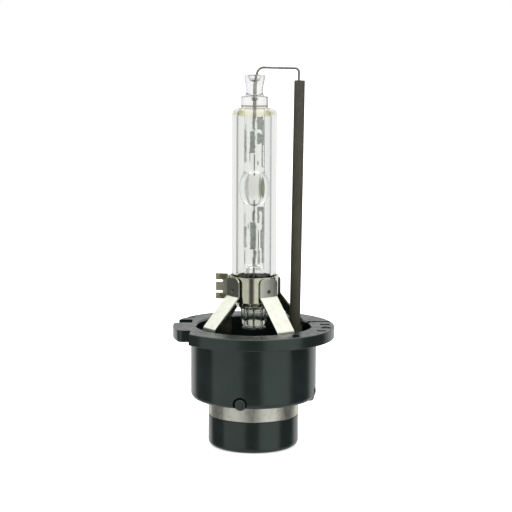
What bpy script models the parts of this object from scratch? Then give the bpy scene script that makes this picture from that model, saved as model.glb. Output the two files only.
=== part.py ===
"""Xenon discharge headlight bulb: a glass burner on four metal legs over a moulded plug-in base.

Every height below is measured from the flange's top face, the plane that the lamp is seated by.
The empty "reference_plane" lifts the parts so that the bottom rim stands at z = 0.
Azimuths turn about +Z, from -Y (the front) towards +X.
"""

import math

import bmesh
import bpy
from mathutils import Vector

MM = 0.001
FIT_GAP = 0.05 * MM

# Moulded base: a flange on a cup, closed below by a floor with a round opening.
RIM_DROP = 23.9 * MM
FLANGE_RADIUS = 15.9 * MM
FLANGE_THICKNESS = 2.3 * MM
FLANGE_EDGE = 0.25 * MM
MOUTH_RADIUS = 11.6 * MM
MOUTH_CHAMFER = 0.3 * MM
CUP_RADIUS = 12.35 * MM
CUP_BOTTOM = -14.3 * MM
CUP_EDGE = 1.0 * MM
CUP_FLOOR_TOP = -11.8 * MM
FLOOR_OPENING = 7.05 * MM

# Keyways in the flange's left side, which set the lamp's turn in the reflector.
KEYWAY_INNER_X = -12.2 * MM
KEYWAY_REAR = (2.0 * MM, 5.5 * MM)
KEYWAY_FRONT = (-9.9 * MM, -6.5 * MM)
LOBE_CORNER = 1.2 * MM

# Shallow mould marks on the flange: x, y, length in x, length in y.
MARK_DEPTH = 0.3 * MM
MARK_GROOVES = (
    (12.85 * MM, 3.6 * MM, 4.7 * MM, 1.0 * MM),
    (-12.7 * MM, 8.1 * MM, 1.8 * MM, 0.9 * MM),
    (14.05 * MM, 0.6 * MM, 1.9 * MM, 1.2 * MM),
    (13.1 * MM, -6.2 * MM, 1.7 * MM, 1.1 * MM),
    (8.0 * MM, -11.7 * MM, 1.3 * MM, 2.4 * MM),
)
EJECTOR_SIZE = (1.9 * MM, 3.4 * MM)
EJECTOR_MARKS = ((14.1 * MM, -3.3 * MM), (-9.1 * MM, -9.2 * MM))

# Bayonet pins pressed radially into the cup's lower edge.
PIN_RADIUS = 1.25 * MM
PIN_ROUND = 0.7 * MM
PIN_HEIGHT = -13.45 * MM
PIN_INNER = 9.4 * MM
PIN_OUTER = 12.2 * MM
PIN_POCKET_RADIUS = 1.45 * MM
PIN_POCKET_FLOOR = 11.5 * MM
PIN_AZIMUTHS = {"front": -12.5, "right": 77.5, "rear": 167.5, "left": 257.5}

# Plug: outer contact ring on an insulating sleeve, and a centre contact on its middle post.
PLUG_RADIUS = 8.9 * MM
PLUG_EDGE = 1.0 * MM
RING_BOTTOM = -17.64 * MM
RING_INNER = 8.2 * MM
NECK_RADIUS = 8.15 * MM
SPIGOT_RADIUS = 7.0 * MM
SPIGOT_TOP = -12.3 * MM
SOCKET_RADIUS = 6.4 * MM
SOCKET_CEILING = -16.4 * MM
POST_RADIUS = 3.0 * MM
POST_BOTTOM = -20.9 * MM
CONTACT_BORE = 1.6 * MM
CONTACT_BORE_TOP = -15.0 * MM
CHIMNEY_RADIUS = 2.4 * MM
CHIMNEY_TOP = -0.3 * MM
WIRE_HOLE = 0.42 * MM
WIRE_GROOVE = 0.45 * MM
LEAD_BORE = 0.5 * MM
CONTACT_HEAD_RADIUS = 2.3 * MM
CONTACT_HEAD = 0.7 * MM
CONTACT_BEAD = 0.7 * MM
CONTACT_BEAD_FLATTENING = 0.6
CONTACT_LEAD_BORE = 0.3 * MM

# Burner: an arc tube in an outer envelope, both turned about the lamp's axis.
ARC_CENTRE = 27.1 * MM
ARC_GAP = 4.2 * MM
ENVELOPE_RADIUS = 4.4 * MM
ENVELOPE_WALL = 1.2 * MM
ENVELOPE_TOP = 42.6 * MM
ENVELOPE_BOTTOM = 3.65 * MM
ENVELOPE_NECK = 2.7 * MM
SHOULDER_HEIGHT = 1.3 * MM
SHOULDER_THICKENING = 0.4 * MM
STEM_RADIUS = 2.0 * MM
STEM_HOLE = 2.1 * MM
CHAMBER_RADIUS = 1.35 * MM
CHAMBER_HALF = 3.5 * MM
BULGE_RADIUS = 3.0 * MM
BULGE_HALF = 4.3 * MM
COLLAR_RADIUS = 2.65 * MM
COLLAR_EDGE = 0.5 * MM
LOWER_COLLAR = (3.0 * MM, 3.6 * MM)
UPPER_COLLAR = (42.65 * MM, 44.8 * MM)
STEM_END = 0.0 * MM
STEM_END_RADIUS = 2.5 * MM
STEM_END_ROUND = 0.8 * MM
TAIL_TOP = 49.0 * MM
TAIL_NECK = 46.2 * MM
TAIL_NECK_RADIUS = 1.62 * MM
TAIL_RADIUS = 2.05 * MM
TAIL_BORE = 1.1 * MM
TAIL_BORE_BOTTOM = 48.5 * MM
TAIL_BOWL = (0.8 * MM, 47.95 * MM)
TAIL_FUNNEL = 47.55 * MM
SEAL_BORE = 0.3 * MM
LOWER_HOLLOW_RADIUS = 1.45 * MM
LOWER_HOLLOW_TOP = 12.2 * MM
LOWER_HOLLOW_DOME = 1.3 * MM

# Foils, electrodes and leads, all on the axis.
FOIL_WIDTH = 2.2 * MM
FOIL_THICKNESS = 0.06 * MM
FOIL_LENGTH = 9.0 * MM
FOIL_OFFSET = 9.4 * MM
FOIL_TURN = 15.0
FOIL_SLOT_GAP = 0.04 * MM
ELECTRODE_RADIUS = 0.1 * MM
ELECTRODE_TIP_RADIUS = 0.18 * MM
DEPOSIT_THICKNESS = 0.08 * MM
DEPOSIT_AZIMUTHS = (46, 130)
DEPOSIT_HEIGHTS = (-1.75 * MM, 1.85 * MM)

# Clamp band around the envelope, with a forked ear where its two ends meet.
BAND_THICKNESS = 0.3 * MM
BAND_BOTTOM = 5.0 * MM
BAND_TOP = 9.9 * MM
EAR_END = 7.46 * MM
EAR_BOTTOM = 5.2 * MM
EAR_TOP = 10.2 * MM
EAR_BEND = 0.5 * MM
EAR_LAYER = 0.19 * MM
EAR_KINK = 5.2 * MM
EAR_SLANT = 0.15
EAR_NOTCHES = ((6.35 * MM, 6.85 * MM), (8.5 * MM, 9.0 * MM))
EAR_NOTCH_END = 6.05 * MM

# Legs: sheet strips welded to the band above and to a ring inside the base below.
LEG_WIDTH = 4.0 * MM
LEG_THICKNESS = 0.3 * MM
LEG_PAD_TOP = 9.75 * MM
LEG_PAD_CORNER = 1.1 * MM
LEG_BEND = 6.1 * MM
LEG_FOOT_RADIUS = 10.6 * MM
LEG_FOOT_TOP = 0.1 * MM
LEG_FOOT_BOTTOM = -6.2 * MM
LEG_WELD = 7.2 * MM
LEG_WELD_RADIUS = 0.38 * MM
LEG_WELD_DEPTH = 0.12 * MM
LEG_AZIMUTHS = {"front_right": 35.5, "rear_right": 125.5, "rear_left": 215.5, "front_left": 305.5}
LEG_RING_OUTER = 10.35 * MM
LEG_RING_WALL = 0.4 * MM
LEG_RING_TOP = -4.6 * MM
LEG_RING_BOTTOM = -7.2 * MM

# Return wire and the loose ceramic tube threaded on its straight run, both leaning by WIRE_LEAN.
WIRE_RADIUS = 0.2 * MM
WIRE_LEAN = 0.7
WIRE_FOOT_X = 7.92 * MM
WIRE_END = -16.0 * MM
WIRE_CORNERS = ((0.05 * MM, 47.3 * MM), (0.7 * MM, 50.4 * MM))
WIRE_TOP_RIGHT = 50.25 * MM
WIRE_BENDS = (4.0 * MM, 1.3 * MM, 0.75 * MM)
TUBE_FOOT_X = 8.08 * MM
TUBE_RADIUS = 1.05 * MM
TUBE_BORE = 0.5 * MM
TUBE_TOP = 47.9 * MM
TUBE_BOTTOM = -11.65 * MM
WELD_BEAD = 0.28 * MM

COARSE_TURN = 48
MIDDLE_TURN = 36
FINE_TURN = 24
MERGE = 0.000001


def clear_scene():
    for old in list(bpy.data.objects):
        bpy.data.objects.remove(old, do_unlink=True)


def make_collection(name):
    collection = bpy.data.collections.new(name)
    bpy.context.scene.collection.children.link(collection)
    return collection


def make_material(name, colour, roughness, metallic=0.0, transmission=0.0):
    material = bpy.data.materials.new(name)
    material.use_nodes = True
    shader = material.node_tree.nodes["Principled BSDF"]
    shader.inputs["Base Color"].default_value = (*colour, 1.0)
    shader.inputs["Roughness"].default_value = roughness
    shader.inputs["Metallic"].default_value = metallic
    shader.inputs["Transmission Weight"].default_value = transmission
    return material


clear_scene()
PARTS = make_collection("headlight_bulb")
CUTTERS = make_collection("cutters")
PLANE = bpy.data.objects.new("reference_plane", None)
PLANE.location.z = RIM_DROP
PARTS.objects.link(PLANE)

BLACK_PLASTIC = make_material("black_plastic", (0.03, 0.036, 0.035), 0.45)
PIN_PLASTIC = make_material("pin_plastic", (0.035, 0.04, 0.04), 0.5)
CONTACT_NICKEL = make_material("contact_nickel", (0.42, 0.40, 0.34), 0.35, 1.0)
BRASS = make_material("contact_brass", (0.60, 0.47, 0.22), 0.35, 1.0)
SPRING_STEEL = make_material("spring_steel", (0.62, 0.61, 0.52), 0.25, 1.0)
QUARTZ = make_material("quartz", (0.93, 0.95, 0.92), 0.02, 0.0, 1.0)
CERAMIC = make_material("dark_ceramic", (0.055, 0.053, 0.038), 0.6)
LEAD_METAL = make_material("lead_metal", (0.30, 0.30, 0.26), 0.4, 1.0)
FOIL_METAL = make_material("foil_metal", (0.45, 0.46, 0.44), 0.35, 1.0)
TUNGSTEN = make_material("tungsten", (0.25, 0.25, 0.25), 0.4, 1.0)
HALIDE_SALT = make_material("halide_salt", (0.42, 0.43, 0.20), 0.6)


def add_object(name, data, material=None, collection=PARTS):
    made = bpy.data.objects.new(name, data)
    collection.objects.link(made)
    made.parent = PLANE
    if material:
        data.materials.append(material)
    return made


def as_mesh(name, build):
    """A mesh filled by build(bm), shaded smooth with crisp edges."""
    mesh = bpy.data.meshes.new(name)
    bm = bmesh.new()
    build(bm)
    bm.to_mesh(mesh)
    bm.free()
    mesh.shade_smooth()
    mesh.set_sharp_from_angle(angle=math.radians(35))
    return mesh


def arc(centre_r, centre_z, radius, start, end, steps=4):
    """Points (r, z) along a round, by angles in degrees from the +r direction."""
    turns = [math.radians(start + (end - start) * i / steps) for i in range(steps + 1)]
    return [(centre_r + radius * math.cos(t), centre_z + radius * math.sin(t)) for t in turns]


def turned(name, profile, material, steps, closed=True):
    """A profile (r, z) that runs down its outer side, turned about +Z with a Screw."""

    def build(bm):
        points = [bm.verts.new((r, 0, z)) for r, z in profile]
        for first, second in zip(points, points[1:]):
            bm.edges.new((first, second))
        if closed:
            bm.edges.new((points[-1], points[0]))

    made = add_object(name, as_mesh(name, build), material)
    screw = made.modifiers.new("Turn", "SCREW")
    screw.steps = steps
    screw.render_steps = steps
    screw.use_smooth_shade = True
    screw.use_merge_vertices = True
    screw.merge_threshold = MERGE
    return made


def frozen(made):
    """The object's mesh with its modifiers worked in, in place of the stack."""
    bpy.context.view_layer.update()
    graph = bpy.context.evaluated_depsgraph_get()
    mesh = bpy.data.meshes.new_from_object(made.evaluated_get(graph))
    made.modifiers.clear()
    made.data = mesh
    return made


def box_cutter(name, centre, size, turn=0.0):
    def build(bm):
        bmesh.ops.create_cube(bm, size=1.0)
        bmesh.ops.scale(bm, vec=size, verts=bm.verts)

    cutter = add_object(name, as_mesh(name, build), None, CUTTERS)
    cutter.location = centre
    cutter.rotation_euler.z = math.radians(turn)
    return hide(cutter)


def rod_mesh(name, radius, length, segments):
    """A cylinder centred on the origin, along +Z."""

    def build(bm):
        bmesh.ops.create_cone(
            bm, cap_ends=True, segments=segments, radius1=radius, radius2=radius, depth=length
        )

    return as_mesh(name, build)


def rod_cutter(name, radius, length, centre, direction, segments=20):
    cutter = add_object(name, rod_mesh(name, radius, length, segments), None, CUTTERS)
    cutter.location = centre
    cutter.rotation_euler = Vector((0, 0, 1)).rotation_difference(direction).to_euler()
    return hide(cutter)


def hide(cutter):
    cutter.hide_render = True
    cutter.display_type = "WIRE"
    return cutter


def cut(made, cutter):
    difference = made.modifiers.new(cutter.name, "BOOLEAN")
    difference.operation = "DIFFERENCE"
    difference.solver = "EXACT"
    difference.object = cutter


def radial(azimuth):
    turn = math.radians(azimuth)
    return Vector((math.sin(turn), -math.cos(turn), 0))


def rounded_path(points, bends, steps=4):
    """The polyline through points, each inner corner rounded by the matching bend radius."""
    path = [Vector(points[0])]
    for before, corner, after, bend in zip(points, points[1:], points[2:], bends):
        corner = Vector(corner)
        inward = (Vector(before) - corner).normalized()
        outward = (Vector(after) - corner).normalized()
        half = inward.angle(outward) / 2
        centre = corner + (inward + outward).normalized() * (bend / math.sin(half))
        start = corner + inward * (bend / math.tan(half)) - centre
        end = corner + outward * (bend / math.tan(half)) - centre
        sweep = start.angle(end)
        for i in range(steps + 1):
            share = i / steps
            mixed = start * math.sin((1 - share) * sweep) + end * math.sin(share * sweep)
            path.append(centre + mixed / math.sin(sweep))
    path.append(Vector(points[-1]))
    return path


def wire(name, path, radius, material):
    curve = bpy.data.curves.new(name, "CURVE")
    curve.dimensions = "3D"
    curve.bevel_depth = radius
    curve.bevel_resolution = 2
    curve.use_fill_caps = True
    spline = curve.splines.new("POLY")
    spline.points.add(len(path) - 1)
    for point, place in zip(spline.points, path):
        point.co = (*place, 1.0)
    return add_object(name, curve, material)


def wire_x(height):
    """Where the straight, slightly leaning run of the return wire stands at a height."""
    return WIRE_FOOT_X + height * math.tan(math.radians(WIRE_LEAN))


def tube_x(height):
    """Where the ceramic tube's axis, which has the wire's lean, stands at a height."""
    return TUBE_FOOT_X + height * math.tan(math.radians(WIRE_LEAN))


def base_housing():
    edge = FLANGE_EDGE
    under = -FLANGE_THICKNESS
    profile = [(MOUTH_RADIUS, 0)]
    profile += arc(FLANGE_RADIUS - edge, -edge, edge, 90, 0, 3)
    profile += arc(FLANGE_RADIUS - edge, under + edge, edge, 0, -90, 3)
    profile += arc(CUP_RADIUS + edge, under - edge, edge, 90, 180, 2)
    profile += arc(CUP_RADIUS - CUP_EDGE, CUP_BOTTOM + CUP_EDGE, CUP_EDGE, 0, -90, 5)
    profile += [(FLOOR_OPENING, CUP_BOTTOM), (FLOOR_OPENING, CUP_FLOOR_TOP)]
    inner = MOUTH_RADIUS - MOUTH_CHAMFER
    profile += [(inner, CUP_FLOOR_TOP), (inner, -MOUTH_CHAMFER)]
    housing = turned("base_housing", profile, BLACK_PLASTIC, COARSE_TURN)
    cut_keyways(housing)
    round_lobe(housing)
    cut_marks(housing)
    cut_pin_seats(housing)
    hole_x = wire_x((CUP_FLOOR_TOP + CUP_BOTTOM) / 2)
    place = (hole_x, 0, (CUP_FLOOR_TOP + CUP_BOTTOM) / 2)
    hole = rod_cutter("wire_hole", WIRE_HOLE, 4 * MM, place, Vector((0, 0, 1)), 12)
    cut(housing, hole)
    return housing


def cut_keyways(housing):
    outer_x = -FLANGE_RADIUS - 2 * MM
    centre_x = (KEYWAY_INNER_X + outer_x) / 2
    for label, (front, rear) in (("rear", KEYWAY_REAR), ("front", KEYWAY_FRONT)):
        size = (KEYWAY_INNER_X - outer_x, rear - front, 2 * FLANGE_THICKNESS - 0.6 * MM)
        centre = (centre_x, (front + rear) / 2, -FLANGE_THICKNESS / 2)
        cut(housing, box_cutter(f"keyway_{label}_cutter", centre, size))


def round_lobe(housing):
    """Rounds the corner where the lobe between the keyways meets its front edge."""
    y = KEYWAY_FRONT[1] + LOBE_CORNER
    x = -math.sqrt((FLANGE_RADIUS - LOBE_CORNER) ** 2 - y**2)
    start = 180 + math.degrees(math.atan2(-y, -x))
    outline = arc(x, y, LOBE_CORNER, start, 270, 5)
    outline += [(x, y - 2 * LOBE_CORNER), (x - 2 * LOBE_CORNER, y - 2 * LOBE_CORNER)]
    outline += [(x - 2 * LOBE_CORNER, y)]

    def build(bm):
        base = bm.faces.new([bm.verts.new((px, py, -2 * FLANGE_THICKNESS)) for px, py in outline])
        grown = bmesh.ops.extrude_face_region(bm, geom=[base])["geom"]
        top = [item for item in grown if isinstance(item, bmesh.types.BMVert)]
        bmesh.ops.translate(bm, vec=(0, 0, 3 * FLANGE_THICKNESS), verts=top)
        bmesh.ops.recalc_face_normals(bm, faces=bm.faces)

    cut(housing, hide(add_object("lobe_corner_cutter", as_mesh("lobe_corner", build), None, CUTTERS)))


def cut_marks(housing):
    for number, (x, y, length, width) in enumerate(MARK_GROOVES):
        size = (length, width, 2 * MARK_DEPTH)
        cut(housing, box_cutter(f"mark_cutter_{number}", (x, y, 0), size))
    up = Vector((0, 0, 1))
    for number, (x, y) in enumerate(EJECTOR_MARKS):
        cutter = rod_cutter(f"ejector_cutter_{number}", 0.5, 2 * MARK_DEPTH, (x, y, 0), up, 16)
        cutter.scale = (*EJECTOR_SIZE, 1)
        cut(housing, cutter)


def cut_pin_seats(housing):
    outside = CUP_RADIUS + 1 * MM
    for label, azimuth in PIN_AZIMUTHS.items():
        way = radial(azimuth)
        lift = Vector((0, 0, PIN_HEIGHT))
        inner = PIN_INNER - 2 * FIT_GAP
        place = way * (outside + inner) / 2 + lift
        bore = rod_cutter(f"pin_bore_{label}", PIN_RADIUS + FIT_GAP, outside - inner, place, way)
        cut(housing, bore)
        place = way * (outside + PIN_POCKET_FLOOR) / 2 + lift
        deep = outside - PIN_POCKET_FLOOR
        cut(housing, rod_cutter(f"pin_pocket_{label}", PIN_POCKET_RADIUS, deep, place, way))


def bayonet_pins():
    length = PIN_OUTER - PIN_INNER
    mesh = rod_mesh("bayonet_pin", PIN_RADIUS, length, 20)
    mesh.materials.append(PIN_PLASTIC)
    for label, azimuth in PIN_AZIMUTHS.items():
        pin = add_object(f"bayonet_pin_{label}", mesh)
        way = radial(azimuth)
        pin.location = way * (PIN_INNER + PIN_OUTER) / 2 + Vector((0, 0, PIN_HEIGHT))
        pin.rotation_euler = Vector((0, 0, 1)).rotation_difference(way).to_euler()
        bevel = pin.modifiers.new("Rounded end", "BEVEL")
        bevel.width = PIN_ROUND
        bevel.segments = 3
        bevel.limit_method = "ANGLE"
        bevel.angle_limit = math.radians(60)


def contact_ring():
    top = CUP_BOTTOM - FIT_GAP
    profile = [(RING_INNER, top), (PLUG_RADIUS, top), (PLUG_RADIUS, RING_BOTTOM), (RING_INNER, RING_BOTTOM)]
    return turned("contact_ring", profile, CONTACT_NICKEL, MIDDLE_TURN)


def plug_insulator():
    rim = -RIM_DROP
    step = RING_BOTTOM - FIT_GAP
    neck_top = CUP_BOTTOM - FIT_GAP
    profile = [(LEAD_BORE, CHIMNEY_TOP), (CHIMNEY_RADIUS, CHIMNEY_TOP), (CHIMNEY_RADIUS, SPIGOT_TOP)]
    profile += [(SPIGOT_RADIUS, SPIGOT_TOP), (SPIGOT_RADIUS, neck_top), (NECK_RADIUS, neck_top)]
    profile += [(NECK_RADIUS, step), (PLUG_RADIUS, step)]
    profile += arc(PLUG_RADIUS - PLUG_EDGE, rim + PLUG_EDGE, PLUG_EDGE, 0, -90, 4)
    profile += [(SOCKET_RADIUS, rim), (SOCKET_RADIUS, SOCKET_CEILING), (POST_RADIUS, SOCKET_CEILING)]
    profile += [(POST_RADIUS, POST_BOTTOM), (CONTACT_BORE, POST_BOTTOM)]
    profile += [(CONTACT_BORE, CONTACT_BORE_TOP), (LEAD_BORE, CONTACT_BORE_TOP)]
    insulator = turned("plug_insulator", profile, BLACK_PLASTIC, MIDDLE_TURN)
    groove_top = neck_top + 1 * MM
    groove_bottom = RING_BOTTOM + 0.6 * MM
    middle = (groove_top + groove_bottom) / 2
    place = (wire_x(middle), 0, middle)
    length = groove_top - groove_bottom
    cut(insulator, rod_cutter("wire_groove", WIRE_GROOVE, length, place, Vector((0, 0, 1)), 12))
    return insulator


def centre_contact():
    top = CONTACT_BORE_TOP - 0.3 * MM
    head_top = POST_BOTTOM - FIT_GAP
    shank = CONTACT_BORE - FIT_GAP
    profile = [(CONTACT_LEAD_BORE, top), (shank, top), (shank, head_top), (CONTACT_HEAD_RADIUS, head_top)]
    profile += [(CONTACT_HEAD_RADIUS, head_top - CONTACT_HEAD * 0.6)]
    profile += [(CONTACT_HEAD_RADIUS - CONTACT_HEAD * 0.4, head_top - CONTACT_HEAD)]
    profile += [(CONTACT_LEAD_BORE, head_top - CONTACT_HEAD)]
    return turned("centre_contact", profile, BRASS, FINE_TURN)


def contact_weld():
    """The bead that closes the centre contact over the end of the lower lead."""
    top = POST_BOTTOM - FIT_GAP - CONTACT_HEAD - FIT_GAP
    profile = [(0, top), (CONTACT_BEAD, top)] + arc(0, top, CONTACT_BEAD, -15, -90, 4)[1:]
    profile[-1] = (0, profile[-1][1])
    bead = turned("centre_contact_weld", profile, LEAD_METAL, 16, closed=False)
    bead.scale.z = CONTACT_BEAD_FLATTENING
    bead.location.z = top * (1 - CONTACT_BEAD_FLATTENING)
    return bead


def outer_envelope():
    shoulder = ENVELOPE_RADIUS - ENVELOPE_NECK
    inner = ENVELOPE_RADIUS - ENVELOPE_WALL
    inner_shoulder = inner - STEM_HOLE
    top = ENVELOPE_TOP - SHOULDER_HEIGHT
    bottom = ENVELOPE_BOTTOM + SHOULDER_HEIGHT
    profile = [(STEM_HOLE, ENVELOPE_TOP)]
    profile += rounded_shoulder(ENVELOPE_NECK, top, shoulder, SHOULDER_HEIGHT, 90, 0)
    profile += rounded_shoulder(ENVELOPE_NECK, bottom, shoulder, SHOULDER_HEIGHT, 0, -90)
    profile += [(STEM_HOLE, ENVELOPE_BOTTOM)]
    inner_height = SHOULDER_HEIGHT - 0.2 * MM
    inner_top = top - SHOULDER_THICKENING
    inner_bottom = bottom + SHOULDER_THICKENING
    profile += rounded_shoulder(STEM_HOLE, inner_bottom, inner_shoulder, inner_height, -90, 0)
    profile += rounded_shoulder(STEM_HOLE, inner_top, inner_shoulder, inner_height, 0, 90)
    return turned("outer_envelope", profile, QUARTZ, MIDDLE_TURN)


def rounded_shoulder(neck, base, reach, height, start, end, steps=4):
    turns = [math.radians(start + (end - start) * i / steps) for i in range(steps + 1)]
    return [(neck + reach * math.cos(t), base + height * math.sin(t)) for t in turns]


def oval(radius, half, floor, steps):
    """Points (r, z) of an oval about the arc's centre, down its side, never nearer than floor."""
    points = []
    for i in range(steps + 1):
        turn = math.pi * i / steps
        r = radius * math.sin(turn)
        if r > floor:
            points.append((r, ARC_CENTRE + half * math.cos(turn)))
    return points


def arc_tube():
    tube = turned("arc_tube", arc_tube_outside() + arc_tube_inside(), QUARTZ, FINE_TURN)
    slot = (FOIL_WIDTH + 2 * FOIL_SLOT_GAP, FOIL_THICKNESS + 2 * FOIL_SLOT_GAP)
    for label, side in (("upper", 1), ("lower", -1)):
        centre = (0, 0, ARC_CENTRE + side * FOIL_OFFSET)
        size = (*slot, FOIL_LENGTH + 2 * FOIL_SLOT_GAP)
        cut(tube, box_cutter(f"foil_slot_{label}", centre, size, FOIL_TURN))
    return tube


def arc_tube_outside():
    """The outline from the tail's rim down over the knob, the bulge and the collar to the foot."""
    low, high = UPPER_COLLAR
    edge = COLLAR_EDGE
    half_edge = edge / 2
    profile = [(TAIL_RADIUS, TAIL_TOP), (TAIL_RADIUS, TAIL_TOP - 2 * edge), (TAIL_NECK_RADIUS, TAIL_NECK)]
    profile += [(TAIL_RADIUS - half_edge, high + FIT_GAP)]
    profile += arc(COLLAR_RADIUS - edge, high - edge, edge, 90, 0, 3)
    profile += arc(COLLAR_RADIUS - half_edge, low + half_edge, half_edge, 0, -90, 2)
    profile += [(STEM_RADIUS, low)]
    profile += oval(BULGE_RADIUS, BULGE_HALF, STEM_RADIUS, 14)
    low, high = LOWER_COLLAR
    profile += [(STEM_RADIUS, high), (COLLAR_RADIUS, high), (COLLAR_RADIUS, low), (STEM_END_RADIUS, low)]
    rounding = STEM_END_ROUND
    profile += arc(STEM_END_RADIUS - rounding, STEM_END + rounding, rounding, 0, -90, 3)
    return profile


def arc_tube_inside():
    """The outline from the open foot up through the chamber and the bowl to the tail's rim."""
    profile = [(LOWER_HOLLOW_RADIUS, STEM_END + STEM_END_ROUND / 4)]
    dome = LOWER_HOLLOW_TOP - LOWER_HOLLOW_DOME
    profile += [(LOWER_HOLLOW_RADIUS, dome), (LOWER_HOLLOW_RADIUS * 0.8, dome + LOWER_HOLLOW_DOME * 0.6)]
    profile += [(SEAL_BORE, LOWER_HOLLOW_TOP), (SEAL_BORE, ARC_CENTRE - CHAMBER_HALF)]
    profile += oval(CHAMBER_RADIUS, CHAMBER_HALF, SEAL_BORE, 12)[::-1]
    profile += [(SEAL_BORE, ARC_CENTRE + CHAMBER_HALF), (SEAL_BORE, TAIL_FUNNEL)]
    profile += [TAIL_BOWL, (TAIL_BORE, TAIL_BORE_BOTTOM), (TAIL_BORE, TAIL_TOP)]
    return profile


def foils():
    def build(bm):
        bmesh.ops.create_cube(bm, size=1.0)
        bmesh.ops.scale(bm, vec=(FOIL_WIDTH, FOIL_THICKNESS, FOIL_LENGTH), verts=bm.verts)

    mesh = as_mesh("foil", build)
    mesh.materials.append(FOIL_METAL)
    for label, side in (("upper", 1), ("lower", -1)):
        foil = add_object(f"{label}_foil", mesh)
        foil.location.z = ARC_CENTRE + side * FOIL_OFFSET
        foil.rotation_euler.z = math.radians(FOIL_TURN)


def electrodes():
    """Each runs from its tip at the arc to a hair's breadth from the foil."""
    length = FOIL_OFFSET - FOIL_LENGTH / 2 - FIT_GAP - ARC_GAP / 2
    tip = arc(0, ELECTRODE_TIP_RADIUS, ELECTRODE_TIP_RADIUS, 30, -90, 4)
    tip[-1] = (0, tip[-1][1])
    profile = [(0, length), (ELECTRODE_RADIUS, length), (ELECTRODE_RADIUS, 2 * ELECTRODE_TIP_RADIUS)] + tip
    for label, side in (("upper", 1), ("lower", -1)):
        rod = turned(f"{label}_electrode", profile, TUNGSTEN, 12, closed=False)
        rod.location.z = ARC_CENTRE + side * ARC_GAP / 2
        if side < 0:
            rod.rotation_euler.x = math.pi


def halide_deposit():
    """A thin patch of salt on the chamber's right wall, left where the fill condensed."""
    rows = 6
    columns = 6
    low, high = DEPOSIT_HEIGHTS
    start, end = DEPOSIT_AZIMUTHS

    def wall(column, row):
        z = low + (high - low) * row / rows
        taper = math.sin(math.pi * (row + 0.6) / (rows + 1.2))
        middle = (start + end) / 2
        azimuth = middle + (end - start) * taper * (column / columns - 0.5)
        inset = DEPOSIT_THICKNESS / 2 + FIT_GAP
        r = (CHAMBER_RADIUS - inset) * math.sqrt(1 - (z / (CHAMBER_HALF - inset)) ** 2) - 0.02 * MM
        return radial(azimuth) * r + Vector((0, 0, z))

    def build(bm):
        grid = [[bm.verts.new(wall(c, r)) for c in range(columns + 1)] for r in range(rows + 1)]
        for below, above in zip(grid, grid[1:]):
            for i in range(columns):
                bm.faces.new((below[i], below[i + 1], above[i + 1], above[i]))

    patch = add_object("halide_deposit", as_mesh("halide_deposit", build), HALIDE_SALT)
    patch.location.z = ARC_CENTRE
    shell = patch.modifiers.new("Thickness", "SOLIDIFY")
    shell.thickness = DEPOSIT_THICKNESS
    shell.offset = 0
    return patch


def clamp_band():
    radius = ENVELOPE_RADIUS + FIT_GAP + BAND_THICKNESS / 2
    bend_y = EAR_LAYER + EAR_BEND
    bend_x = math.sqrt((radius + EAR_BEND) ** 2 - bend_y**2)
    meet = math.degrees(math.atan2(bend_y, bend_x))
    half = [(-EAR_END, EAR_LAYER), (-(bend_x + EAR_END) / 2, EAR_LAYER)]
    half += arc(-bend_x, bend_y, EAR_BEND, -90, -meet, 3)
    around = 20
    full = 180 - meet
    half += [
        (radius * math.cos(t), radius * math.sin(t))
        for t in (math.radians(full * (1 - i / around)) for i in range(around + 1))
    ]
    outline = half + [(x, -y) for x, y in half[-2::-1]]
    outline = [(x, y + EAR_SLANT * max(0.0, -EAR_KINK - x)) for x, y in outline]

    def heights(x):
        on_ear = x < -bend_x - 0.001 * MM
        return (EAR_BOTTOM, EAR_TOP) if on_ear else (BAND_BOTTOM, BAND_TOP)

    def build(bm):
        walls = [[bm.verts.new((x, y, z)) for z in heights(x)] for x, y in outline]
        for (low_a, high_a), (low_b, high_b) in zip(walls, walls[1:]):
            bm.faces.new((low_a, low_b, high_b, high_a))

    band = add_object("clamp_band", as_mesh("clamp_band", build), SPRING_STEEL)
    shell = band.modifiers.new("Thickness", "SOLIDIFY")
    shell.thickness = BAND_THICKNESS
    shell.offset = 0
    shell.use_even_offset = True
    for number, (low, high) in enumerate(EAR_NOTCHES):
        reach = EAR_END + 1 * MM - EAR_NOTCH_END
        centre = (-EAR_NOTCH_END - reach / 2, 0, (low + high) / 2)
        cut(band, box_cutter(f"ear_notch_{number}", centre, (reach, 3 * MM, high - low)))
    return band


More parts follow.
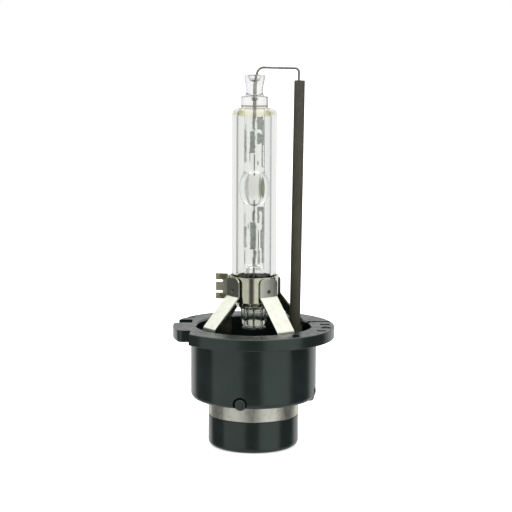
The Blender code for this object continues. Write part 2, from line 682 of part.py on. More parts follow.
def legs():
    """One leg, bent from strip at the front of the lamp, then shared by the four."""
    pad_radius = ENVELOPE_RADIUS + BAND_THICKNESS + 2 * FIT_GAP + LEG_THICKNESS / 2
    corners = [
        (0, -pad_radius, LEG_PAD_TOP - LEG_PAD_CORNER),
        (0, -pad_radius, LEG_BEND),
        (0, -LEG_FOOT_RADIUS, LEG_FOOT_TOP),
        (0, -LEG_FOOT_RADIUS, LEG_FOOT_BOTTOM),
    ]
    stations = []
    for i in range(6):
        turn = math.radians(18 * i)
        drop = LEG_PAD_CORNER * (1 - math.cos(turn))
        half = LEG_WIDTH / 2 - LEG_PAD_CORNER * (1 - math.sin(turn))
        stations.append((Vector((0, -pad_radius, LEG_PAD_TOP - drop)), half))
    path = rounded_path(corners, (0.6 * MM, 0.9 * MM))[1:]
    stations += [(place, LEG_WIDTH / 2) for place in path]

    def build(bm):
        rows = [
            [bm.verts.new(place + Vector((side * half, 0, 0))) for side in (-1, 1)]
            for place, half in stations
        ]
        for (left_a, right_a), (left_b, right_b) in zip(rows, rows[1:]):
            bm.faces.new((left_a, left_b, right_b, right_a))

    blank = add_object("leg_blank", as_mesh("leg", build), SPRING_STEEL)
    shell = blank.modifiers.new("Thickness", "SOLIDIFY")
    shell.thickness = LEG_THICKNESS
    shell.offset = 0
    shell.use_even_offset = True
    face = pad_radius + LEG_THICKNESS / 2
    place = (0, -face, LEG_WELD)
    dimple = rod_cutter(
        "weld_dimple", LEG_WELD_RADIUS, 2 * LEG_WELD_DEPTH, place, Vector((0, -1, 0)), 12
    )
    cut(blank, dimple)
    mesh = frozen(blank).data
    bpy.data.objects.remove(blank)
    for label, azimuth in LEG_AZIMUTHS.items():
        leg = add_object(f"leg_{label}", mesh)
        leg.rotation_euler.z = math.radians(azimuth)


def leg_ring():
    inner = LEG_RING_OUTER - LEG_RING_WALL
    profile = [
        (inner, LEG_RING_TOP),
        (LEG_RING_OUTER, LEG_RING_TOP),
        (LEG_RING_OUTER, LEG_RING_BOTTOM),
        (inner, LEG_RING_BOTTOM),
    ]
    return turned("leg_ring", profile, SPRING_STEEL, MIDDLE_TURN)


def return_wire():
    start = ARC_CENTRE + FOIL_OFFSET + FOIL_LENGTH / 2 + FIT_GAP
    corners = [(0, 0, start)] + [(x, 0, z) for x, z in WIRE_CORNERS]
    corners += [(wire_x(z), 0, z) for z in (WIRE_TOP_RIGHT, WIRE_END)]
    return wire("return_wire", rounded_path(corners, WIRE_BENDS), WIRE_RADIUS, LEAD_METAL)


def return_wire_weld():
    """The bead that joins the return wire to the contact ring's inner face."""

    def build(bm):
        bmesh.ops.create_uvsphere(bm, u_segments=12, v_segments=8, radius=WELD_BEAD)

    bead = add_object("return_wire_weld", as_mesh("return_wire_weld", build), LEAD_METAL)
    bead.location = (wire_x(WIRE_END), 0, WIRE_END - WELD_BEAD - FIT_GAP)
    return bead


def lower_lead():
    top = ARC_CENTRE - FOIL_OFFSET - FOIL_LENGTH / 2 - FIT_GAP
    end = POST_BOTTOM - CONTACT_HEAD
    return wire("lower_lead", [Vector((0, 0, top)), Vector((0, 0, end))], WIRE_RADIUS, LEAD_METAL)


def insulating_tube():
    """Stands round the wire's straight run and leans with it, so that it can slide up to the bend."""
    length = (TUBE_TOP - TUBE_BOTTOM) / math.cos(math.radians(WIRE_LEAN))
    profile = [(TUBE_BORE, length), (TUBE_RADIUS, length), (TUBE_RADIUS, 0), (TUBE_BORE, 0)]
    tube = turned("insulating_tube", profile, CERAMIC, FINE_TURN)
    tube.location = (tube_x(TUBE_BOTTOM), 0, TUBE_BOTTOM)
    tube.rotation_euler.y = math.radians(WIRE_LEAN)
    return tube


base_housing()
bayonet_pins()
contact_ring()
plug_insulator()
centre_contact()
contact_weld()
outer_envelope()
arc_tube()
foils()
electrodes()
halide_deposit()
clamp_band()
legs()
leg_ring()
return_wire()
return_wire_weld()
lower_lead()
insulating_tube()
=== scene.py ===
"""The looks of a gas-discharge headlight bulb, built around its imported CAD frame."""
from math import asin, atan2, copysign, cos, degrees, hypot, pi, radians, sin, sqrt, tan

import bmesh
import bpy
from mathutils import Matrix, Vector, noise


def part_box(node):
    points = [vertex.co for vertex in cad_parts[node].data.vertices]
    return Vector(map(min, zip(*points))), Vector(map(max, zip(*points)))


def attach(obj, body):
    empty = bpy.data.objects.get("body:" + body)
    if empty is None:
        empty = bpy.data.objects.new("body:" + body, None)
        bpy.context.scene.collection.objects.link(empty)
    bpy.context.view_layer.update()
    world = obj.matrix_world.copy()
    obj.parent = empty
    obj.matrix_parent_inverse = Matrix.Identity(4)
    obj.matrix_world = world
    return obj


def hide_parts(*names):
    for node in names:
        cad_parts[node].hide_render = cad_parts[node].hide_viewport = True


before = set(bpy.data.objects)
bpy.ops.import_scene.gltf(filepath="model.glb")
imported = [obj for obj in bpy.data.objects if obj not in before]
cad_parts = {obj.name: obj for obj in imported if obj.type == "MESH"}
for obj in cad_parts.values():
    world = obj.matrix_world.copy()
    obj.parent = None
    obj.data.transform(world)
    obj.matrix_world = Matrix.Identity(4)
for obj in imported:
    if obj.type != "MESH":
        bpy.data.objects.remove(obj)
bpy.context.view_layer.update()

MM = 0.001
UP = Vector((0, 0, 1))
LAMP = "lamp"
TUBE = "tube"

# Anchor heights and radii, read from the frame. Other heights are offsets from the seat plane.
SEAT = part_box("base_housing")[1].z
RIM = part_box("plug_insulator")[0].z
FLANGE_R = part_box("base_housing")[1].x
PLUG_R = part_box("plug_insulator")[1].x
RING_LOW, RING_HIGH = (corner.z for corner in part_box("contact_ring"))
GLASS_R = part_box("outer_envelope")[1].x
GLASS_LOW, GLASS_HIGH = (corner.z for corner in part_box("outer_envelope"))
TAIL_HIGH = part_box("arc_tube")[1].z
ARC_CENTRE = SEAT + 27.1 * MM

# The legs: their turn from the front, and the sheet's middle radius at the pads and at the feet.
LEG_TURN = 35.5
LEG_SHEET = 0.3 * MM
PAD_R = 4.95 * MM
FOOT_R = 10.6 * MM
WELD_HEIGHT = SEAT + 7.2 * MM

# Outline corners flatter than this stay sharp, and points this close to the axis lie on it.
NEARLY_STRAIGHT = radians(88)
ON_AXIS = 1e-7

# framed() works on runs longer than the first length, and sets its points in by the second.
LONG_RUN = 0.35 * MM
RUN_INSET = 0.03 * MM

SHARP_ANGLE = 35
QUARTZ_IOR = 1.46


# ---------------------------------------------------------------- mesh tools


def above(height):
    """A height in millimetres above the seat plane, in metres."""
    return SEAT + height * MM


def corners(base, *points):
    """Outline corners in metres from (r, z, fillet) in mm, with z above a base height."""
    return [(r * MM, base + z * MM, fillet * MM) for r, z, fillet in points]


def placed(name, data):
    item = bpy.data.objects.new(name, data)
    bpy.context.scene.collection.objects.link(item)
    return item


def new_piece(name, mesh, paint, node, body=LAMP):
    """A piece that stands for a CAD node, with the paint of its material slot."""
    mesh.name = name
    piece = placed(name, mesh)
    mesh.materials.append(paint.material)
    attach(piece, body)
    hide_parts(node)
    return piece


def crisp(mesh, sharp):
    mesh.shade_smooth()
    mesh.set_sharp_from_angle(angle=radians(sharp))


def mesh_from(build, sharp=SHARP_ANGLE):
    bm = bmesh.new()
    build(bm)
    bmesh.ops.recalc_face_normals(bm, faces=bm.faces)
    mesh = bpy.data.meshes.new("shape")
    bm.to_mesh(mesh)
    bm.free()
    crisp(mesh, sharp)
    return mesh


def fillet(before, corner, after, radius, steps):
    """Points along a round of a radius that touches both sides of a corner."""
    inward = (before - corner).normalized()
    outward = (after - corner).normalized()
    half = inward.angle(outward) / 2
    centre = corner + (inward + outward).normalized() * (radius / sin(half))
    start = corner + inward * (radius / tan(half)) - centre
    end = corner + outward * (radius / tan(half)) - centre
    sweep = start.angle(end)
    for k in range(steps + 1):
        mix = start * sin((1 - k / steps) * sweep) + end * sin(k / steps * sweep)
        yield centre + mix / sin(sweep)


def arc(x, y, reach_x, reach_y, start, end, steps):
    """Points on an ellipse round (x, y), from one angle to another in degrees."""
    turns = (radians(start + (end - start) * i / steps) for i in range(steps + 1))
    return [(x + reach_x * cos(t), y + reach_y * sin(t)) for t in turns]


def rounded(points, steps=5):
    """A closed (r, z) outline from corners (r, z, fillet radius)."""
    places = [Vector(point[:2]) for point in points]
    outline = []
    for i, here in enumerate(places):
        before = places[i - 1]
        after = places[(i + 1) % len(places)]
        radius = points[i][2]
        if radius <= 0 or (before - here).angle(after - here) / 2 > NEARLY_STRAIGHT:
            outline.append(here)
        else:
            outline += fillet(before, here, after, radius, steps)
    return [tuple(point) for point in outline]


def rounded_run(points):
    """As rounded(), for an open run: its first and last corners stay as they are."""
    (r, z, _), *between, (last_r, last_z, _) = points
    return rounded([(r, z, 0), *between, (last_r, last_z, 0)])


def bent_path(points, bends, steps=6):
    """The polyline through points, its inner corners rounded by bends."""
    points = [Vector(point) for point in points]
    path = [points[0]]
    for before, corner, after, bend in zip(points, points[1:], points[2:], bends):
        path += fillet(before, corner, after, bend, steps)
    return path + [points[-1]]


def framed(outline, closed):
    """Adds a point near both ends of every long run, so that smooth shading stays in the bends."""
    points = [Vector(point) for point in outline]
    ends = list(zip(points, points[1:] + points[:1]))
    result = []
    for number, (start, end) in enumerate(ends):
        result.append(tuple(start))
        if not closed and number == len(ends) - 1:
            break
        run = (end - start).length
        if run > LONG_RUN:
            inset = (end - start) / run * RUN_INSET
            result += [tuple(start + inset), tuple(end - inset)]
    return result


def spin(bm, outline, segments, closed=True):
    """Turns an (r, z) outline about +Z. Points at r = 0 become one vertex."""
    rings = []
    for r, z in framed(outline, closed):
        if r < ON_AXIS:
            rings.append([bm.verts.new((0, 0, z))] * segments)
            continue
        angles = (2 * pi * k / segments for k in range(segments))
        rings.append([bm.verts.new((r * cos(a), r * sin(a), z)) for a in angles])
    pairs = list(zip(rings, rings[1:]))
    if closed:
        pairs.append((rings[-1], rings[0]))
    for upper, lower in pairs:
        for k in range(segments):
            after = (k + 1) % segments
            unique = list(dict.fromkeys([upper[k], lower[k], lower[after], upper[after]]))
            if len(unique) > 2:
                bm.faces.new(unique)


def lathe(outline, segments, closed=True, sharp=SHARP_ANGLE):
    return mesh_from(lambda bm: spin(bm, outline, segments, closed), sharp)


def skin(bm, grid):
    """Faces between the rows and columns of a grid of vertices."""
    for one, other in zip(grid, grid[1:]):
        for k in range(len(one) - 1):
            bm.faces.new((one[k], one[k + 1], other[k + 1], other[k]))


def solid(make, **options):
    return mesh_from(lambda bm: make(bm, **options))


def box_mesh(*size):
    return solid(bmesh.ops.create_cube, size=1.0, matrix=Matrix.Diagonal((*size, 1)))


def rod_mesh(radius, length, segments=32, far_radius=None):
    ends = {"radius1": radius, "radius2": far_radius or radius}
    return solid(bmesh.ops.create_cone, cap_ends=True, segments=segments, depth=length, **ends)


def radial(azimuth):
    """The way out from the axis at an azimuth from the front, in degrees."""
    turn = radians(azimuth)
    return Vector((sin(turn), -cos(turn), 0))


def cutter(mesh, place=(0, 0, 0), direction=UP, turn=0.0):
    tool = placed("cutter", mesh)
    tool.location = place
    tool.rotation_euler = UP.rotation_difference(direction).to_euler()
    if turn:
        tool.rotation_euler.z = radians(turn)
    return tool


def carve(piece, tools):
    for tool in tools:
        step = piece.modifiers.new("Cut", "BOOLEAN")
        step.operation = "DIFFERENCE"
        step.solver = "EXACT"
        step.object = tool
    bake_modifiers(piece)
    for tool in tools:
        bpy.data.objects.remove(tool)


def evaluated_mesh(item):
    bpy.context.view_layer.update()
    graph = bpy.context.evaluated_depsgraph_get()
    return bpy.data.meshes.new_from_object(item.evaluated_get(graph))


def bake_modifiers(piece):
    mesh = evaluated_mesh(piece)
    piece.modifiers.clear()
    piece.data = mesh
    crisp(mesh, SHARP_ANGLE)


def thicken(piece, thickness):
    sheet = piece.modifiers.new("Sheet", "SOLIDIFY")
    sheet.thickness = thickness
    sheet.offset = 0
    sheet.use_even_offset = True
    bake_modifiers(piece)


def soften(piece, width):
    """Small rounded edges, with normals that keep the flats flat."""
    bevel = piece.modifiers.new("Edge", "BEVEL")
    bevel.width = width
    bevel.segments = 2
    bevel.limit_method = "ANGLE"
    bevel.angle_limit = radians(50)
    bevel.harden_normals = True


def ripple(mesh, depth, size):
    """Moves each point by smooth noise, so that a bead or a patch isn't a perfect form."""
    for vertex in mesh.vertices:
        vertex.co += noise.noise_vector(vertex.co / size) * depth


# ------------------------------------------------------------ material tools


class Nodes:
    """Short calls for the nodes that the finishes and the studio light share."""

    def __init__(self, owner):
        owner.use_nodes = True
        self.nodes = owner.node_tree.nodes
        self.links = owner.node_tree.links

    def join(self, value, socket):
        if hasattr(value, "is_linked"):
            self.links.new(value, socket)
        elif socket.type == "RGBA":
            level = value if isinstance(value, tuple) else (value, value, value)
            socket.default_value = (*level, 1.0)
        else:
            socket.default_value = value

    def feed(self, node, inputs):
        """Joins values to a node's inputs by name; an underscore stands for a space."""
        for key, value in inputs.items():
            self.join(value, node.inputs[key.replace("_", " ")])
        return node

    def node(self, kind, **inputs):
        return self.feed(self.nodes.new("ShaderNode" + kind), inputs)

    def split(self, vector):
        return self.node("SeparateXYZ", Vector=vector).outputs

    def math(self, operation, *values):
        node = self.node("Math")
        node.operation = operation
        for value, socket in zip(values, node.inputs):
            self.join(value, socket)
        return node.outputs[0]

    def times(self, first, *others):
        for other in others:
            first = self.math("MULTIPLY", first, other)
        return first

    def length(self, *parts):
        total = self.times(parts[0], parts[0])
        for part in parts[1:]:
            total = self.math("ADD", total, self.times(part, part))
        return self.math("SQRT", total)

    def azimuth(self, x, y):
        """The angle from the front, in radians, positive to the right."""
        return self.math("ARCTAN2", x, self.times(y, -1.0))

    def blend(self, share, first, second):
        """Mixes two numbers."""
        node = self.node("Mix")
        for value, slot in ((share, 0), (first, 2), (second, 3)):
            self.join(value, node.inputs[slot])
        return node.outputs[0]

    def smooth(self, value, start, end):
        node = self.node("MapRange", Value=value, From_Min=start, From_Max=end)
        node.interpolation_type = "SMOOTHSTEP"
        return node.outputs["Result"]

    def ramp(self, value, *stops):
        """Colours at positions along value; a stop is (position, colour or grey level)."""
        node = self.node("ValToRGB", Fac=value)
        points = node.color_ramp.elements
        while len(points) < len(stops):
            points.new(1.0)
        for point, (position, colour) in zip(points, stops):
            point.position = position
            point.color = (*colour, 1.0) if isinstance(colour, tuple) else (*[colour] * 3, 1.0)
        return node.outputs["Color"]


class Paint(Nodes):
    """A node material. The sizes of its noise, cells and bumps are in mm."""

    def __init__(self, slot):
        self.slot = slot
        self.material = bpy.data.materials.new(slot)
        super().__init__(self.material)
        self.shader = self.nodes["Principled BSDF"]
        self.place = self.node("TexCoord").outputs["Object"]
        self.x, self.y, self.z = self.split(self.place)

    def geometry(self, output):
        return self.node("NewGeometry").outputs[output]

    def set(self, **values):
        self.feed(self.shader, values)

    def linked(self, name):
        """What already feeds a socket of the shader."""
        return self.shader.inputs[name].links[0].from_socket

    def mapped(self, **change):
        return self.node("Mapping", Vector=self.place, **change).outputs["Vector"]

    def noise(self, size, detail=3.0, rough=0.55, stretch=None):
        """Noise from 0 to 1, whose blobs are about size across."""
        place = self.mapped(Scale=stretch) if stretch else self.place
        scale = 1.0 / (size * MM)
        node = self.node("TexNoise", Vector=place, Scale=scale, Detail=detail, Roughness=rough)
        return node.outputs["Fac"]

    def cells(self, size):
        node = self.node("TexVoronoi", Vector=self.place, Scale=1.0 / (size * MM))
        return node.outputs["Distance"]

    def mask(self, value, start, end):
        """0 below start, 1 above end, straight between them."""
        return self.ramp(value, (start, 0.0), (end, 1.0))

    def mix(self, share, first, second):
        """Mixes two colours."""
        node = self.node("Mix")
        node.data_type = "RGBA"
        for value, slot in ((share, 0), (first, 6), (second, 7)):
            self.join(value, node.inputs[slot])
        return node.outputs[2]

    def band(self, value, low, high, soft):
        """1 where value lies between low and high, fading over soft on each side."""
        rise = self.smooth(value, low - soft, low + soft)
        return self.times(rise, self.smooth(value, high + soft, high - soft))

    def bump(self, height, depth, strength=1.0, under=None):
        node = self.node("Bump", Distance=depth * MM, Strength=strength, Height=height)
        if under:
            self.join(under, node.inputs["Normal"])
        self.set(Normal=node.outputs["Normal"])
        return node.outputs["Normal"]


# ------------------------------------------------------------------ finishes


def plastic(name, deep, pale, roughness):
    """Moulded plastic: cloudy, with flow lines, scarce specks, and scuffs on what faces up."""
    paint = Paint(name)
    flow = paint.noise(0.6, 3, stretch=(1, 1, 0.2))
    colour = paint.mix(paint.mask(paint.noise(3, 4), 0.35, 0.7), deep, pale)
    dust = paint.ramp(paint.cells(0.55), (0.0, 1.0), (0.045, 0.0))
    rare = paint.mask(paint.noise(2.2, 2), 0.6, 0.68)
    colour = paint.mix(paint.times(dust, rare, 0.35), colour, (0.20, 0.21, 0.20))
    upward = paint.smooth(paint.split(paint.geometry("Normal"))[2], 0.8, 0.97)
    scuffs = paint.mask(paint.noise(0.9, 5, 0.65), 0.35, 0.65)
    rough = paint.ramp(flow, (0.3, roughness - 0.06), (0.7, roughness + 0.08))
    rough = paint.mix(upward, rough, paint.ramp(scuffs, (0.0, 0.24), (1.0, 0.42)))
    level = paint.mix(upward, 0.5, paint.ramp(scuffs, (0.0, 0.40), (1.0, 0.24)))
    paint.set(Base_Color=colour, Roughness=rough, Specular_IOR_Level=level)
    paint.set(Specular_Tint=(0.80, 0.97, 0.90), IOR=1.57)
    grain = paint.bump(paint.noise(0.09, 2), 0.004, 0.6)
    paint.bump(flow, 0.006, 0.5, under=grain)
    return paint


def strip_metal(name, pale, dull, roughness, lines):
    """Rolled strip: fine lines along lines, a vector of stretches, with faint stains."""
    paint = Paint(name)
    rolled = paint.noise(0.25, 3, stretch=lines)
    stain = paint.noise(1.4, 5, 0.6)
    colour = paint.mix(paint.mask(stain, 0.42, 0.72), pale, dull)
    rough = paint.ramp(rolled, (0.3, roughness - 0.05), (0.7, roughness + 0.07))
    paint.set(Base_Color=colour, Metallic=1.0, Roughness=rough)
    paint.bump(rolled, 0.003, 0.5)
    return paint


def leg_metal():
    """Strip steel, burnt brown where each pad is spot welded to the clamp."""
    paint = strip_metal("leg_steel", (0.60, 0.61, 0.54), (0.54, 0.55, 0.46), 0.19, (1, 1, 0.12))
    x, y, _ = paint.split(paint.mapped(Rotation=(0, 0, radians(-LEG_TURN))))
    x = paint.math("ABSOLUTE", x)
    y = paint.math("ABSOLUTE", y)
    out = paint.math("SUBTRACT", paint.math("MAXIMUM", x, y), PAD_R + LEG_SHEET / 2)
    side = paint.math("MINIMUM", x, y)
    up = paint.math("SUBTRACT", paint.z, WELD_HEIGHT)
    burn = paint.smooth(paint.length(up, out, side), 0.55 * MM, 0.3 * MM)
    burn = paint.times(burn, paint.ramp(paint.noise(0.2, 3), (0.3, 0.7), (0.6, 1.0)))
    colour = paint.mix(burn, paint.linked("Base Color"), (0.085, 0.08, 0.05))
    paint.set(Base_Color=colour, Roughness=paint.mix(burn, paint.linked("Roughness"), 0.5))
    return paint


def clamp_metal():
    """Strip steel, straw coloured where the ear's tabs were pressed and welded."""
    paint = strip_metal("clamp_steel", (0.60, 0.61, 0.48), (0.50, 0.51, 0.38), 0.09, (1, 1, 0.15))
    upper = paint.band(paint.z, above(9.0), above(11), 0.1 * MM)
    lower = paint.band(paint.z, above(4.0), above(6.4), 0.1 * MM)
    on_ear = paint.band(paint.x, -9 * MM, -5.5 * MM, 0.2 * MM)
    tabs = paint.times(paint.math("ADD", upper, lower), on_ear)
    patch = paint.noise(0.5, 3)
    straw = paint.ramp(patch, (0.35, (0.70, 0.70, 0.44)), (0.65, (0.48, 0.46, 0.26)))
    paint.set(Base_Color=paint.mix(tabs, paint.linked("Base Color"), straw))
    return paint


def nickel():
    """Plating with streaks, stains, and dark pits in the stains."""
    paint = Paint("contact_nickel")
    streak = paint.noise(0.8, 4, 0.6, (1, 1, 0.35))
    stain = paint.noise(1.1, 6, 0.7)
    colour = paint.mix(paint.mask(stain, 0.50, 0.70), (0.66, 0.66, 0.58), (0.48, 0.48, 0.39))
    pits = paint.ramp(paint.cells(0.28), (0.03, 1.0), (0.13, 0.0))
    pits = paint.times(pits, paint.mask(stain, 0.45, 0.56))
    colour = paint.mix(pits, colour, (0.12, 0.11, 0.07))
    rough = paint.ramp(streak, (0.3, 0.28), (0.7, 0.46))
    paint.set(Base_Color=colour, Metallic=1.0, Roughness=rough)
    under = paint.bump(streak, 0.006, 0.5)
    paint.bump(pits, 0.02, 0.4, under=under)
    return paint


def drawn_metal(paint, colour, roughness):
    """Wire, with draw lines along it."""
    paint.set(Base_Color=colour, Metallic=1.0, Roughness=roughness)
    paint.bump(paint.noise(0.08, 2, stretch=(1, 1, 0.1)), 0.003, 0.5)
    return paint


def wire_metal(name, pale, dull, roughness):
    paint = Paint(name)
    patch = paint.noise(0.7, 4, 0.6)
    rough = paint.ramp(patch, (0.3, roughness - 0.06), (0.7, roughness + 0.1))
    return drawn_metal(paint, paint.mix(paint.mask(patch, 0.4, 0.65), pale, dull), rough)


def lead_metal():
    """The leads: clean inside the glass, oxidised dark where the return wire stands in the open."""
    paint = Paint("lead_metal")
    patch = paint.noise(0.7, 4, 0.6)
    share = paint.mask(patch, 0.4, 0.65)
    clean = paint.mix(share, (0.50, 0.50, 0.47), (0.34, 0.34, 0.31))
    dark = paint.mix(share, (0.33, 0.33, 0.315), (0.22, 0.22, 0.20))
    outside = paint.smooth(paint.z, TAIL_HIGH - 1.3 * MM, TAIL_HIGH - 0.7 * MM)
    rough = paint.ramp(patch, (0.3, 0.32), (0.7, 0.48))
    return drawn_metal(paint, paint.mix(outside, clean, dark), rough)


def quartz(name, tint):
    """Clear quartz with faint draw lines."""
    paint = Paint(name)
    lines = paint.noise(0.9, 2, stretch=(1, 1, 0.04))
    paint.set(Base_Color=tint, Transmission_Weight=1.0, Roughness=0.0, IOR=QUARTZ_IOR)
    paint.bump(lines, 0.006, 0.35)
    return paint


def envelope_glass():
    """The outer bulb: yellowish and thick where its ends were worked in the flame. Painted shade
    puts olive ovals at its left and right near the top, where the thick shoulder is seen edge-on,
    and a dark olive line along its top edge.
    """
    clear = (0.947, 0.957, 0.941)
    flamed = (0.955, 0.95, 0.83)
    painted_oval_shade = (0.66, 0.66, 0.48)
    painted_rim_line = (0.62, 0.63, 0.50)
    paint = quartz("envelope_quartz", clear)
    low = paint.smooth(paint.z, GLASS_LOW + 2.0 * MM, GLASS_LOW + 1.0 * MM)
    high = paint.smooth(paint.z, GLASS_HIGH - 1.9 * MM, GLASS_HIGH - 1.2 * MM)
    patchy = paint.ramp(paint.noise(1.2, 3), (0.3, 0.6), (0.7, 1.0))
    colour = paint.mix(paint.times(paint.math("MAXIMUM", low, high), patchy), clear, flamed)
    # Painted shade: olive ovals at the left and right of the shoulder, where the thick glass is
    # seen edge-on.
    edge = paint.band(paint.math("ABSOLUTE", paint.x), 2.2 * MM, 4.1 * MM, 0.4 * MM)
    thick = paint.band(paint.z, GLASS_HIGH - 1.15 * MM, GLASS_HIGH - 0.45 * MM, 0.12 * MM)
    colour = paint.mix(paint.times(edge, thick), colour, painted_oval_shade)
    # Painted shade: a dark olive line along the very top edge.
    rim = paint.smooth(paint.z, GLASS_HIGH - 0.16 * MM, GLASS_HIGH - 0.05 * MM)
    paint.set(Base_Color=paint.mix(rim, colour, painted_rim_line))
    return paint


# Darker patches on the stem near the foils' outer ends: azimuths in degrees from the front, then
# the lower and upper ends below the arc's centre in mm.
STEM_DARK_PATCHES = ((-75, -33, 17.3, 14.9), (12, 75, 16.0, 14.8))


def burner_glass():
    """The arc tube: a film of salts softens its hollows. Its lower collar carries a darker olive
    band, and painted shade darkens the glass towards the bottom and draws a dark line round the
    upper collar's lower edge, on the rear side.
    """
    clear = (0.993, 0.995, 0.990)
    paint = quartz("arc_tube_quartz", clear)
    height = paint.z
    reach = paint.length(paint.x, paint.y)
    in_chamber = paint.times(
        paint.band(height, ARC_CENTRE - 1.7 * MM, ARC_CENTRE + 2.2 * MM, 0.8 * MM),
        paint.smooth(reach, 1.5 * MM, 1.4 * MM),
    )
    in_tail = paint.times(
        paint.band(height, above(43.5), TAIL_HIGH - 1.2 * MM, 0.2 * MM),
        paint.smooth(reach, 1.2 * MM, 1.1 * MM),
    )
    film = paint.math("MAXIMUM", paint.times(in_chamber, 0.42), paint.times(in_tail, 0.3))
    # Painted shade: a dark line round the upper collar's lower edge, on the rear side only.
    painted_collar_line = paint.times(
        paint.band(height, above(42.6), above(43.0), 0.05 * MM),
        paint.smooth(paint.y, 0.2 * MM, 1.0 * MM),
    )
    tints = [
        (in_chamber, (1.0, 1.0, 0.95)),
        (paint.band(height, above(2.95), above(3.65), 0.05 * MM), (0.50, 0.51, 0.40)),
        (painted_collar_line, (0.14, 0.14, 0.08)),
        # Painted shade: the glass darkens towards its bottom, over the black base.
        (paint.smooth(height, above(3.2), above(1.2)), (0.70, 0.72, 0.66)),
    ]
    azimuth = paint.azimuth(paint.x, paint.y)
    inside = paint.smooth(reach, 1.75 * MM, 1.6 * MM)
    for left, right, low, high in STEM_DARK_PATCHES:
        across = paint.band(azimuth, radians(left), radians(right), 0.08)
        along = paint.band(height, ARC_CENTRE - low * MM, ARC_CENTRE - high * MM, 0.15 * MM)
        tints.append((paint.times(across, along, inside), (0.30, 0.31, 0.26)))
    colour = clear
    for share, tint in tints:
        colour = paint.mix(share, colour, tint)
    paint.set(Base_Color=colour, Roughness=film)
    return paint


def ceramic():
    """Dark fired clay, chipped pale towards its upper end."""
    paint = Paint("tube_ceramic")
    cloud = paint.noise(1.6, 5, 0.6, (1, 1, 0.35))
    colour = paint.mix(paint.mask(cloud, 0.35, 0.7), (0.029, 0.029, 0.018), (0.046, 0.045, 0.027))
    chips = paint.mask(paint.noise(0.32, 4, 0.7), 0.56, 0.70)
    chips = paint.times(chips, paint.smooth(paint.z, above(24), above(47)))
    colour = paint.mix(paint.times(chips, 0.6), colour, (0.17, 0.16, 0.14))
    rough = paint.ramp(cloud, (0.3, 0.50), (0.7, 0.68))
    paint.set(Base_Color=colour, Roughness=rough)
    grain = paint.bump(paint.noise(0.12, 3), 0.012, 0.7)
    paint.bump(chips, 0.02, 0.5, under=grain)
    return paint


def salts():
    paint = Paint("halide_salt")
    grain = paint.noise(0.22, 5, 0.7)
    shades = ((0.3, (0.34, 0.35, 0.17)), (0.55, (0.52, 0.53, 0.30)), (0.75, (0.70, 0.70, 0.48)))
    paint.set(Base_Color=paint.ramp(grain, *shades), Roughness=0.6)
    paint.bump(grain, 0.03, 0.8)
    return paint


BLACK = plastic("black_plastic", (0.0068, 0.0108, 0.0100), (0.0098, 0.0145, 0.0136), 0.17)
PIN_BLACK = plastic("pin_plastic", (0.008, 0.011, 0.010), (0.012, 0.016, 0.015), 0.28)
LEG_STEEL = leg_metal()
CLAMP_STEEL = clamp_metal()
NICKEL = nickel()
BRASS = wire_metal("contact_brass", (0.72, 0.56, 0.27), (0.50, 0.38, 0.18), 0.3)
LEAD = lead_metal()
FOIL = wire_metal("foil_metal", (0.66, 0.69, 0.65), (0.50, 0.53, 0.49), 0.36)
TUNGSTEN = wire_metal("tungsten", (0.44, 0.44, 0.42), (0.30, 0.30, 0.28), 0.4)
ENVELOPE_QUARTZ = envelope_glass()
ARC_QUARTZ = burner_glass()
CERAMIC = ceramic()
SALT = salts()


# ------------------------------------------------------------------ the base

FLANGE_LOW = above(-2.3)
MOUTH_R = 11.6 * MM
CUP_R = 12.35 * MM
CUP_LOW = RIM + 9.6 * MM
FLOOR_HIGH = CUP_LOW + 2.5 * MM
FLOOR_OPENING = 7.05 * MM

# Each keyway's front and rear in y, and the lobe that stands between them.
KEYWAYS = ((2.0, 5.5), (-9.9, -6.5))
KEYWAY_INNER = -12.2 * MM
LOBE_FILLET = 1.2 * MM

# Mould marks on the flange, in mm. Grooves: x, y, length, width. Rounds: x, y, half width, half
# length, depth.
GROOVES = (
    (12.85, 3.6, 4.7, 1.0), (-12.7, 8.1, 1.8, 0.9), (14.05, 0.6, 1.9, 1.2),
    (13.1, -6.2, 1.7, 1.1), (8.0, -11.7, 1.3, 2.4),
)
GROOVE_DEPTH = 0.3
ROUNDS = (
    (14.1, -3.3, 0.95, 1.7, 0.16), (-9.1, -9.2, 0.95, 1.7, 0.05), (-10.3, -8.6, 0.22, 0.35, 0.3),
)

# The bayonet pins, and the wider pockets round them in the cup's wall.
PIN_AZIMUTHS = {"front": -12.5, "right": 77.5, "rear": 167.5, "left": 257.5}
PIN_HEIGHT = above(-13.45)
PIN_INNER = 9.4 * MM
PIN_LENGTH = 2.8 * MM
PIN_R = 1.25 * MM
PIN_BORE_R = 1.29 * MM
POCKET_R = 1.42 * MM
POCKET_SHIFT = 0.08 * MM

# The return wire leans outward as it rises, and the ceramic tube leans with it.
WIRE_LEAN = radians(0.7)
WIRE_FOOT_X = 7.92 * MM
TUBE_FOOT_X = 8.08 * MM


def leaning_x(foot_x, height):
    """Where a leaning axis stands at a height, from where it crosses the seat plane."""
    return foot_x + (height - SEAT) * tan(WIRE_LEAN)


def keyway_tools():
    tools = []
    for front, rear in KEYWAYS:
        width = 6 * MM
        place = (KEYWAY_INNER - width / 2, (front + rear) / 2 * MM, above(-1.15))
        tools.append(cutter(box_mesh(width, (rear - front) * MM, 4.0 * MM), place))
    return tools


